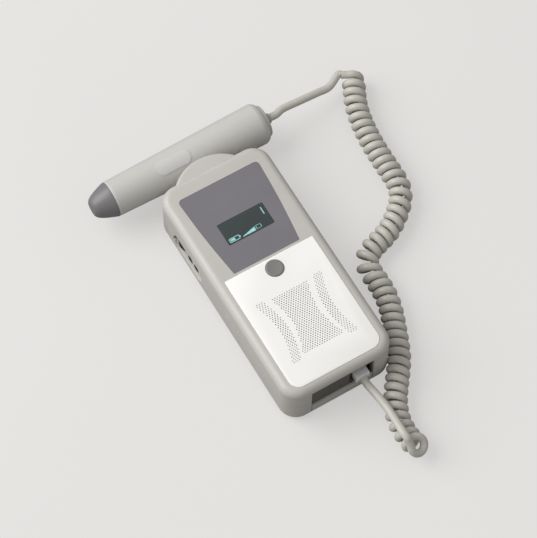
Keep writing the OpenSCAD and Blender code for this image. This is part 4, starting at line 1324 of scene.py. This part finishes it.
    def arm(self) -> bpy.types.Object:
        """Makes the arm that carries the probe from below.

        Returns:
            The arm.
        """
        top = self.split - self.split_gap
        (x0, x1), (axis_y, axis_z) = self.arm_x, Probe().middle
        arm = Bench.rod("cradle_foot", (x0, axis_y, axis_z), "X", x1 - x0, self.arm_r, 96)
        Bench.round_edges(arm, Bench.at_one_x, self.arm_edge, segments=3)
        Bench.slice(arm, (0, axis_y, axis_z), (0, 0.7071, 0.7071))
        Bench.slice(arm, (0, 0, top), (0, 0, 1))
        root = Bench.block("arm_root", (x0, self.length / 2, self.arm_low),
                           (x1, self.arm_reach, top))
        Bench.carve(arm, root, way="UNION")
        Bench.carve(arm, self.cradle_cone(self.cradle_gap))
        return Bench.settle(arm, 32.0)

    def wells(self, shell: bpy.types.Object) -> None:
        """Gives the rear shell its four screw wells, each with its bore and pilot hole.

        Args:
            shell: The rear shell.
        """
        x, y = self.screw_at
        for sx in (-x, x):
            for sy in (-y, y):
                Bench.carve(shell, Bench.rod("well", (sx, sy, 2.0), "Z", 17.8, 4.0), way="UNION")
                Bench.carve(shell, Bench.rod("bore", (sx, sy, -1), "Z", 9, 3.1),
                            Bench.rod("pilot", (sx, sy, 6), "Z", 20, 1.65, 24))

    def rear(self) -> bpy.types.Object:
        """Makes the rear shell with its bay and screw wells.

        Returns:
            The rear shell.
        """
        shell = self.hollow("case_rear", False)
        Bench.carve(shell, self.pad("pad_rear", False), way="UNION")
        self.wells(shell)
        outside = -self.length / 2 - self.past
        door = Bench.block("door_cut", (-21.8, outside, -1), (21.8, -7.7, 2.3))
        end = Bench.block("end_cut", (-self.end_half, outside, -1), (self.end_half, self.end_y, 26))
        low, high = self.wheel_slot
        slot = Bench.block("wheel_cut", (-self.width / 2, *low), (4 - self.width / 2, *high))
        holes = [Bench.rod("socket_cut", (-self.width / 2, y, self.socket_z), "X", 4, self.socket_r)
                 for y in self.socket_y]
        Bench.carve(shell, door, end, self.side_scoop(), slot, *holes)
        Bench.carve(shell, *self.battery_bay(), way="UNION")
        return Bench.settle(shell, 32.0)

    def build(self) -> None:
        """Makes both shells and the arm, and sets them on the case."""
        fit(self.front(), SHELL, "case", ["front_shell"])
        fit(self.rear(), SHELL, "case", ["rear_shell"])
        fit(self.arm(), SHELL, "case", ["cradle_arm"])


@dataclass
class BatteryDoor:
    """Sliding battery door with its lip at the socket end.

    Attributes:
        half_width: Half the width of the door.
        lip_top: Top of the lip.
        inner_end: Where the door ends under the case.
        wall: Wall of the door.
        lip_y: Inner face of the lip.
        hook_y: Where the hooks start.
        hook_l: Length of a hook.
        hook_x: Inner and outer side of a hook's foot, on the right side.
        tip_x: Inner and outer side of a hook's tip, on the right side.
        hook_z: Underside of the foot, underside of the tip and top of both.
        groove_y: Middle of the first grip groove.
        groove_step: Distance from one groove to the next.
        groove_half: Half the length and half the width of a groove.
        grooves: Number of grooves.
    """

    half_width: float = 21.5
    lip_top: float = 13.0
    inner_end: float = -8.0
    wall: float = 2.2
    lip_y: float = -80.0
    hook_y: Pair = (-52.0, -22.0)
    hook_l: float = 10.0
    hook_x: Pair = (18.5, 21.5)
    tip_x: Pair = (20.0, 23.2)
    hook_z: Point = (2.1, 2.6, 4.0)
    groove_y: float = -66.0
    groove_step: float = 2.4
    groove_half: Pair = (9.0, 0.5)
    grooves: int = 5

    def rails(self, name: str, across: Pair, low: float) -> list[bpy.types.Object]:
        """Makes four alike blocks, two on each side of the door.

        Args:
            name: Name of the blocks.
            across: Inner and outer side, on the right side.
            low: Their underside.

        Returns:
            The blocks.
        """
        inner, outer = across
        return [Bench.block(name, (x0, y, low), (x1, y + self.hook_l, self.hook_z[2]))
                for x0, x1 in ((-outer, -inner), (inner, outer)) for y in self.hook_y]

    def build(self) -> None:
        """Makes the door from the case's own outer form."""
        half = self.half_width
        door = CaseShells().blank("door", 0.0)
        Bench.slice(door, (0, 0, self.lip_top), (0, 0, 1))
        Bench.slice(door, (0, self.inner_end, 0), (0, 1, 0))
        Bench.slice(door, (half, 0, 0), (1, 0, 0))
        Bench.slice(door, (-half, 0, 0), (-1, 0, 0))
        Bench.carve(door, Bench.block("inside", (-30, self.lip_y, self.wall), (30, 0, 20)))
        Bench.carve(door, *self.rails("hook", self.hook_x, self.hook_z[0]),
                    *self.rails("tip", self.tip_x, self.hook_z[1]), way="UNION")
        along, across = self.groove_half
        for i in range(self.grooves):
            y = self.groove_y + self.groove_step * i
            Bench.carve(door, Bench.slab("groove", (-along, y - across, -1),
                                         (along, y + across, 0.6), radius=0.45))
        fit(Bench.settle(door, 32.0), DOOR, "door", ["battery_door"])


@dataclass
class Perforations:
    """Pattern of the speaker plate: a waisted block and a curved strip at each side.

    Attributes:
        pitch: Distance of the holes in X and of the rows in Y.
        radius: Radius of a hole.
        block_rows: Rows of the block.
        block_y: Place of its first row.
        block_half: Half width of its first row, growth to the last and depth of the waist.
        strip_rows: Rows of a strip.
        strip_y: Place of its first row.
        strip_x: Middle of its first row, lean towards the last and depth of the waist.
        strip_half: Half the width of a strip.
    """

    pitch: Pair = (1.72, 1.3)
    radius: float = 0.41
    block_rows: int = 32
    block_y: float = -18.2
    block_half: Point = (13.2, 1.2, 4.6)
    strip_rows: int = 35
    strip_y: float = -16.8
    strip_x: Point = (20.6, -0.6, 4.4)
    strip_half: float = 2.6

    def rows(self, count: int, first: float, curve: Point) -> Iterator[Point]:
        """Walks down the rows of a field.

        Args:
            count: Number of rows.
            first: Y of the first row.
            curve: Value of the first row, growth to the last and depth of the waist.

        Yields:
            Y of the row, the shift of its holes and the row's value on the curve.
        """
        start, growth, waist = curve
        for row in range(count):
            t = row / (count - 1)
            yield (first - self.pitch[1] * row, self.pitch[0] / 2 * (row % 2),
                   start + growth * t - waist * math.sin(math.pi * t))

    def spots(self) -> list[Pair]:
        """Gives the X and Y of every hole."""
        step, found = self.pitch[0], []
        for y, shift, half in self.rows(self.block_rows, self.block_y, self.block_half):
            reach = int(half / step) + 1
            found += [(k * step + shift, y) for k in range(-reach, reach + 1)
                      if abs(k * step + shift) <= half]
        for y, shift, middle in self.rows(self.strip_rows, self.strip_y, self.strip_x):
            for k in range(-2, 3):
                x = k * step + shift
                if abs(x) <= self.strip_half:
                    found += [(middle + x, y), (-middle - x, y)]
        return found

    def cutter(self) -> bpy.types.Object:
        """Makes one mesh of many small rods.

        Returns:
            The cutter.
        """
        seed = Bench.rod("perforation", (0, 0, 37.0), "Z", 2.0, self.radius, sides=8)
        rods = [Bench.copy(seed, "perforation_copy", (x, y, 0)) for x, y in self.spots()]
        LOG.info("speaker plate has %d perforations", len(rods))
        cutter = Bench.merge(rods[0], *rods[1:])
        bpy.data.objects.remove(seed)
        return cutter


@dataclass
class FacePieces:
    """Label panel, window, speaker plate and push button on the display face.

    Attributes:
        plate_low: Outer end of the speaker plate.
        plate_high: Inner end of the plate.
        plate_half: Half the width of the plate.
        plate_top: Top of the plate.
        plate_round: Radius of its outer and of its inner corners.
        label_low: End of the label panel beside the plate.
        label_high: Far end of the panel.
        label_half_low: Half its width beside the plate.
        label_half_high: Half its width at the far end.
        label_top: Top of the panel.
        label_bow: How far its sides bow out.
        label_round: Radius of its far and of its near corners.
        label_steps: Straight parts along a bowed side.
        seat: Height of the seats of the panel and the plate.
        seat_gap: Gap around the panel and the plate in their seats.
        window_y: Middle of the display window.
        window_half: Half the window's width and length.
        window_low: Underside of the window.
        sign_z: Underside and top of the lit signs.
        button_y: Middle of the push button.
        button_hole_r: Radius of the button's hole.
        button_top: Top of the button.
    """

    plate_low: float = -77.0
    plate_high: float = 7.0
    plate_half: float = 31.5
    plate_top: float = 38.3
    plate_round: Pair = (7.0, 0.8)
    label_low: float = 8.7
    label_high: float = 69.7
    label_half_low: float = 23.25
    label_half_high: float = 28.75
    label_top: float = 37.9
    label_bow: float = 0.8
    label_round: Pair = (3.0, 0.6)
    label_steps: int = 8
    seat: float = 37.5
    seat_gap: float = 0.1
    window_y: float = 34.9
    window_half: Pair = (16.25, 8.15)
    window_low: float = 36.3
    sign_z: Pair = (37.88, 37.96)
    button_y: float = -0.6
    button_hole_r: float = 6.0
    button_top: float = 39.0

    def label_blank(self, name: str, gap: float, low: float, high: float) -> bpy.types.Object:
        """Makes the label panel's block with its gently bowed sides.

        Args:
            name: Name of the block.
            gap: Distance outside the panel's own outline.
            low: Height of its underside.
            high: Height of its top.

        Returns:
            The block.
        """
        y0, y1 = self.label_low - gap, self.label_high + gap
        piece = Bench.block(name, (-1, y0, low), (1, y1, high))
        levels = [y0 + (y1 - y0) * i / self.label_steps for i in range(self.label_steps + 1)]
        for level in levels[1:-1]:
            with Bench.edit(piece, "EDGE"):
                bpy.ops.mesh.select_all(action="SELECT")
                bpy.ops.mesh.bisect(plane_co=(0, level * MM, 0), plane_no=(0, 1, 0))
        for level in levels:
            t = (level - y0) / (y1 - y0)
            half = (self.label_half_low + (self.label_half_high - self.label_half_low) * t
                    + self.label_bow * math.sin(math.pi * t) + gap)
            with Bench.edit(piece, "VERT") as mesh:
                Bench.pick(piece, mesh, mesh.verts, lambda v: abs(v.co.y - level * MM) < NEAR)
                bpy.ops.transform.resize(value=(half, 1, 1), center_override=(0, level * MM, 0))
        far, near = (y1 - 0.1) * MM, (y0 + 0.1) * MM
        Bench.round_edges(piece, lambda e: Bench.upright(e) and e.verts[0].co.y > far,
                          self.label_round[0], segments=5)
        Bench.round_edges(piece, lambda e: Bench.upright(e) and e.verts[0].co.y < near,
                          self.label_round[1], segments=2)
        return piece

    def plate_blank(self, name: str, gap: float, low: float, high: float) -> bpy.types.Object:
        """Makes the speaker plate's block, round at its two outer corners.

        Args:
            name: Name of the block.
            gap: Distance outside the plate's own outline.
            low: Height of its underside.
            high: Height of its top.

        Returns:
            The block.
        """
        x, y0, y1 = self.plate_half + gap, self.plate_low - gap, self.plate_high + gap
        outer, inner = self.plate_round
        middle = (y0 + y1) / 2 * MM
        piece = Bench.block(name, (-x, y0, low), (x, y1, high))
        Bench.round_edges(piece, lambda e: Bench.upright(e) and e.verts[0].co.y < middle,
                          outer, segments=10)
        Bench.round_edges(piece, lambda e: Bench.upright(e) and e.verts[0].co.y > 0.0,
                          inner, segments=3)
        return piece

    def plate(self) -> None:
        """Makes the perforated speaker plate."""
        piece = self.plate_blank("speaker_grille", 0.0, self.seat, self.plate_top)
        Bench.round_edges(piece, lambda e: Bench.at_z(e, self.plate_top), 0.3, segments=2)
        button = Bench.rod("button_hole", (0, self.button_y, 36), "Z", 4, self.button_hole_r, 64)
        Bench.carve(piece, button, Perforations().cutter())
        fit(Bench.settle(piece, 30.0), PLATE, "case", ["speaker_plate"])

    def label(self) -> None:
        """Makes the blank label panel."""
        piece = self.label_blank("label", 0.0, self.seat, self.label_top)
        x, y = self.window_half[0] + self.seat_gap, self.window_half[1]
        hole = Bench.slab("window_hole", (-x, self.window_y - y, 36), (x, self.window_y + y, 39),
                          radius=1.1)
        Bench.carve(piece, hole)
        fit(Bench.settle(piece, 30.0), LABEL, "case", ["label_panel"])

    def window(self) -> None:
        """Makes the display window."""
        x, y = self.window_half
        piece = Bench.slab("display_pane", (-x, self.window_y - y, self.window_low),
                           (x, self.window_y + y, self.label_top), radius=1.0, segments=4,
                           edge=0.15)
        fit(Bench.settle(piece, 30.0), WINDOW, "case", ["display_window"])

    def bar(self, name: str, low: Pair, high: Pair) -> bpy.types.Object:
        """Makes one thin lit bar on the display.

        Args:
            name: Name of the bar.
            low: Its lowest x and y.
            high: Its highest x and y.

        Returns:
            The bar.
        """
        under, top = self.sign_z
        return Bench.slab(name, (*low, under), (*high, top), radius=0.2, segments=2)

    def frame(self, low: Pair, high: Pair, upright: float, level: float) -> list[bpy.types.Object]:
        """Makes the four bars of a lit outline.

        Args:
            low: Its lowest x and y.
            high: Its highest x and y.
            upright: Width of the bars at its left and right.
            level: Width of the bars at its foot and head.

        Returns:
            The bars.
        """
        (x0, y0), (x1, y1) = low, high
        return [self.bar("frame_foot", (x0, y0), (x1, y0 + level)),
                self.bar("frame_head", (x0, y1 - level), (x1, y1)),
                self.bar("frame_left", (x0, y0), (x0 + upright, y1)),
                self.bar("frame_right", (x1 - upright, y0), (x1, y1))]

    def segments(self) -> None:
        """Makes the battery sign, the volume wedge and the marks of the display."""
        y = self.window_y - 7.0
        under, top = self.sign_z
        parts = self.frame((-14.6, y), (-7.4, y + 3.05), 0.5, 0.45)
        parts += [self.bar("sign_stud", (-7.3, y + 1.0), (-6.8, y + 2.0)),
                  self.bar("sign_fill", (-13.7, y + 0.8), (-10.6, y + 2.3))]
        wedge = Bench.block("wedge", (-5.6, y, under), (3.6, y + 0.4, top))
        with Bench.edit(wedge, "FACE") as mesh:
            Bench.pick(wedge, mesh, mesh.verts, lambda v: v.co.x > 0 and v.co.y > (y + 0.2) * MM)
            bpy.ops.transform.translate(value=(0, 2.4 * MM, 0))
        parts += [wedge, *self.frame((4.4, y + 0.3), (8.0, y + 3.0), 0.35, 0.3),
                  self.bar("level_bar", (13.3, y + 7.2), (13.9, y + 12.6))]
        piece = Bench.merge(parts[0], *parts[1:])
        piece.name = piece.data.name = "display_segments"
        fit(Bench.settle(piece, 30.0), SEGMENT, "case")

    def button(self) -> None:
        """Makes the dished push button with its hidden rim."""
        top, stem, rim = self.button_top, 5.8, 7.2
        rim_low, rim_high = top - 4.9, top - 3.3
        rounded = [(0.7, stem), (0.32, 5.68), (0.1, 5.4), (0.0, 5.0)]
        dish = [(0.08, 4.4), (0.2, 3.0), (0.26, 1.4), (0.28, 0.2)]
        stations = [(rim_low, rim), (rim_high, rim), (rim_high, stem)]
        stations += [(top - drop, radius) for drop, radius in (*rounded, *dish)]
        piece = Bench.turned("push_button", (0, self.button_y), stations, "Z", sides=64)
        fit(Bench.settle(piece, 40.0), BUTTON, "button", ["power_button"])

    def build(self) -> None:
        """Makes all pieces of the display face."""
        self.plate()
        self.label()
        self.window()
        self.segments()
        self.button()


@dataclass
class SocketEnd:
    """Recessed panel at the socket end and the clear plug.

    Attributes:
        panel_low: Lowest corner of the panel.
        panel_high: Highest corner of the panel.
        panel_edge: Round of the panel's outer edges.
        flange_low: Lowest corner of the flange behind the case's wall.
        flange_high: Highest corner of the flange.
        opening_low: Lowest corner of the jack's opening.
        opening_high: Highest corner of the opening.
        plug_at: Middle of the plug's outer face.
        plug_half: Half the plug's width and height.
        plug_l: Length of the plug.
        latch_half: Half the width of the latch.
        latch_z: Underside and top of the latch, over the plug's middle.
        latch_l: Length of the latch.
        latch_bend: Where the latch bends down, from the outer face.
        latch_drop: How far its inner end lies lower.
        latch_taper: Share of the width that its outer end keeps.
    """

    panel_low: Point = (-21.8, -81.0, 13.3)
    panel_high: Point = (21.8, -79.65, 32.0)
    panel_edge: float = 0.3
    flange_low: Point = (-23.0, -79.7, 12.5)
    flange_high: Point = (23.0, -78.3, 33.2)
    opening_low: Point = (5.5, -83, 14.2)
    opening_high: Point = (21.1, -77, 31.1)
    plug_at: Point = (13.7, -83.5, 17.9)
    plug_half: Pair = (4.82, 3.3)
    plug_l: float = 12.0
    latch_half: float = 3.0
    latch_z: Pair = (4.6, 5.5)
    latch_l: float = 11.0
    latch_bend: float = 5.0
    latch_drop: float = 1.6
    latch_taper: float = 0.7

    def panel(self) -> None:
        """Makes the panel with its opening for the jack."""
        piece = Bench.block("socket_panel", self.panel_low, self.panel_high)
        outer = (self.panel_low[1] + 0.1) * MM
        Bench.round_edges(piece, lambda e: all(v.co.y < outer for v in e.verts),
                          self.panel_edge, segments=2)
        flange = Bench.block("flange", self.flange_low, self.flange_high)
        Bench.carve(piece, flange, way="UNION")
        Bench.carve(piece, Bench.block("opening", self.opening_low, self.opening_high))
        fit(Bench.settle(piece, 30.0), SOCKET_PANEL, "case", ["connector_panel"])

    def plug(self) -> None:
        """Makes the clear plug with its spring latch."""
        x, y, z = self.plug_at
        across, tall = self.plug_half
        body = Bench.block("plug_body", (x - across, y, z - tall),
                           (x + across, y + self.plug_l, z + tall))
        Bench.round_edges(body, lambda e: True, 0.35, segments=2)
        low, high = self.latch_z
        latch = Bench.block("latch", (x - self.latch_half, y, z + low),
                            (x + self.latch_half, y + self.latch_l, z + high))
        bend = (y + self.latch_bend) * MM
        with Bench.edit(latch, "VERT") as mesh:
            Bench.pick(latch, mesh, mesh.verts, lambda v: v.co.y > bend)
            bpy.ops.transform.translate(value=(0, 0, -self.latch_drop * MM))
        with Bench.edit(latch, "VERT") as mesh:
            Bench.pick(latch, mesh, mesh.verts, lambda v: v.co.y < bend)
            bpy.ops.transform.resize(value=(self.latch_taper, 1, 1),
                                     center_override=(x * MM, y * MM, z * MM))
        Bench.round_edges(latch, lambda e: True, 0.2, segments=2)
        piece = Bench.merge(body, latch)
        piece.name = piece.data.name = "clear_plug"
        fit(Bench.settle(piece, 30.0), CLEAR, "plug", ["modular_plug"])

    def build(self) -> None:
        """Makes the pieces of the socket end."""
        self.panel()
        self.plug()


# ---------------------------------------------------------------- probe


@dataclass
class Probe:
    """Slim pencil probe with its dark nose, cap and strain relief.

    Attributes:
        middle: Place of its axis in Y and Z.
        joint: Place of the nose joint along X.
        joint_r: Radius at the nose joint.
        shoulder: Place of the widest part along X.
        shoulder_r: Radius at the shoulder.
        tail: Place of the body's flat end along X.
        tail_r: Radius of that end.
        fullness: Power of the shoulder's curve, where 1 is an ellipse.
        nose_l: Length of the nose.
        face_r: Radius of the nose behind the rounded edge of its face.
        nose_power: Power of the nose's curve along its length.
        cap_l: Length of the end cap.
        cap_r: Radius of the cap.
        cap_round: Radius of the cap's outer edge.
    """

    middle: Pair = (100.4, 21.0)
    joint: float = -60.0
    joint_r: float = 11.9
    shoulder: float = 46.0
    shoulder_r: float = 14.0
    tail: float = 50.2
    tail_r: float = 11.1
    fullness: float = 1.25
    nose_l: float = 14.0
    face_r: float = 5.3
    nose_power: float = 0.62
    cap_l: float = 2.2
    cap_r: float = 10.85
    cap_round: float = 1.6

    def body(self) -> None:
        """Makes the tapered body with its round shoulder."""
        joint, wide, narrow = self.joint_r, self.shoulder_r, self.tail_r
        length, back = self.shoulder - self.joint, self.tail - self.shoulder
        stations = [(self.joint + 0.05, joint - 0.4), (self.joint + 0.12, joint - 0.15),
                    (self.joint + 0.35, joint - 0.02)]
        stations += [(self.joint + length * t, joint + (wide - joint) * t)
                     for t in (0.02, 0.25, 0.5, 0.75, 1.0)]
        stations += [(self.shoulder + back * math.sin(a) ** self.fullness,
                      narrow + (wide - narrow) * math.cos(a) ** self.fullness)
                     for a in turns(6, 90, 6)]
        stations += [(self.tail, narrow), (self.tail, narrow - 0.4)]
        piece = Bench.turned("probe_barrel", self.middle, stations)
        fit(Bench.settle(piece, 40.0), PROBE_SHELL, "probe", ["probe_body"])

    def nose(self) -> None:
        """Makes the dark nose with its flat face."""
        tip, face, edge = self.joint - self.nose_l, self.face_r, 0.4
        length, growth = self.nose_l - edge - 0.3, self.joint_r - face
        stations = [(tip, face - 0.9), (tip + 0.02, face - 0.5), (tip + 0.12, face - 0.2),
                    (tip + edge, face)]
        stations += [(tip + edge + length * t, face + growth * t ** self.nose_power)
                     for t in (0.02, 0.06, 0.12, 0.2, 0.3, 0.42, 0.56, 0.72, 0.88, 0.98)]
        stations += [(self.joint - 0.2, self.joint_r - 0.02),
                     (self.joint - 0.08, self.joint_r - 0.15),
                     (self.joint - 0.05, self.joint_r - 0.4)]
        piece = Bench.turned("probe_tip", self.middle, stations)
        fit(Bench.settle(piece, 40.0), PROBE_NOSE, "probe", ["probe_nose"])

    def cable_end(self) -> None:
        """Makes the end cap and the collar of the cable."""
        start, end = self.tail + 0.05, self.tail + self.cap_l
        radius, curve = self.cap_r, self.cap_round
        cap = [(start, radius - 0.25), (start + 0.07, radius - 0.05), (start + 0.25, radius)]
        cap += [(end - curve + curve * math.sin(a), radius - curve + curve * math.cos(a))
                for a in turns(0, 91, 10)]
        piece = Bench.turned("probe_end", self.middle, cap)
        fit(Bench.settle(piece, 40.0), PROBE_CAP, "probe", ["probe_end_cap"])
        profile = ((0.05, 4.35), (0.8, 4.35), (1.0, 4.2), (1.2, 3.8), (1.5, 3.5), (3.0, 3.4),
                   (3.2, 3.1))
        collar = [(end + step, wide) for step, wide in profile]
        piece = Bench.turned("cable_collar", self.middle, collar, sides=48)
        fit(Bench.settle(piece, 40.0), RELIEF, "probe", ["probe_strain_relief"])

    def build(self) -> None:
        """Makes the pieces of the probe."""
        self.body()
        self.nose()
        self.cable_end()


# ---------------------------------------------------------------- inside


class Inside(Enum):
    """CAD nodes that keep their shape, each with its finish."""

    battery_foam = FOAM
    grille_cloth = CLOTH
    switch_plunger = BLACK
    button_switch = BLACK
    main_board = BOARD
    board_chips = BLACK
    display_holder = BLACK
    display_module = BLACK
    speaker = BLACK
    speaker_gasket = FOAM
    side_board = BOARD
    board_header = BLACK
    volume_pot = METAL
    volume_wheel = BLACK
    headphone_socket = BLACK
    charge_socket = BLACK
    modular_jack = BLACK
    jack_contacts = CONTACT
    plug_contacts = CONTACT
    battery = CAN
    battery_snap = BLACK
    case_screws = METAL
    board_screws = METAL
    probe_label = PROBE_LABEL
    probe_board = BOARD
    crystals = CERAMIC
    crystal_backing = BLACK


def main() -> None:
    """Builds the studio, the cord and then each sub-assembly in order."""
    logging.basicConfig(level=logging.INFO, format="%(name)s: %(message)s")
    Studio().build()
    ProbeCord().build()
    CaseShells().build()
    BatteryDoor().build()
    FacePieces().build()
    SocketEnd().build()
    Probe().build()
    for name, entry in Inside.__members__.items():
        dress_node(name, entry.value)


if __name__ == "__main__":
    main()
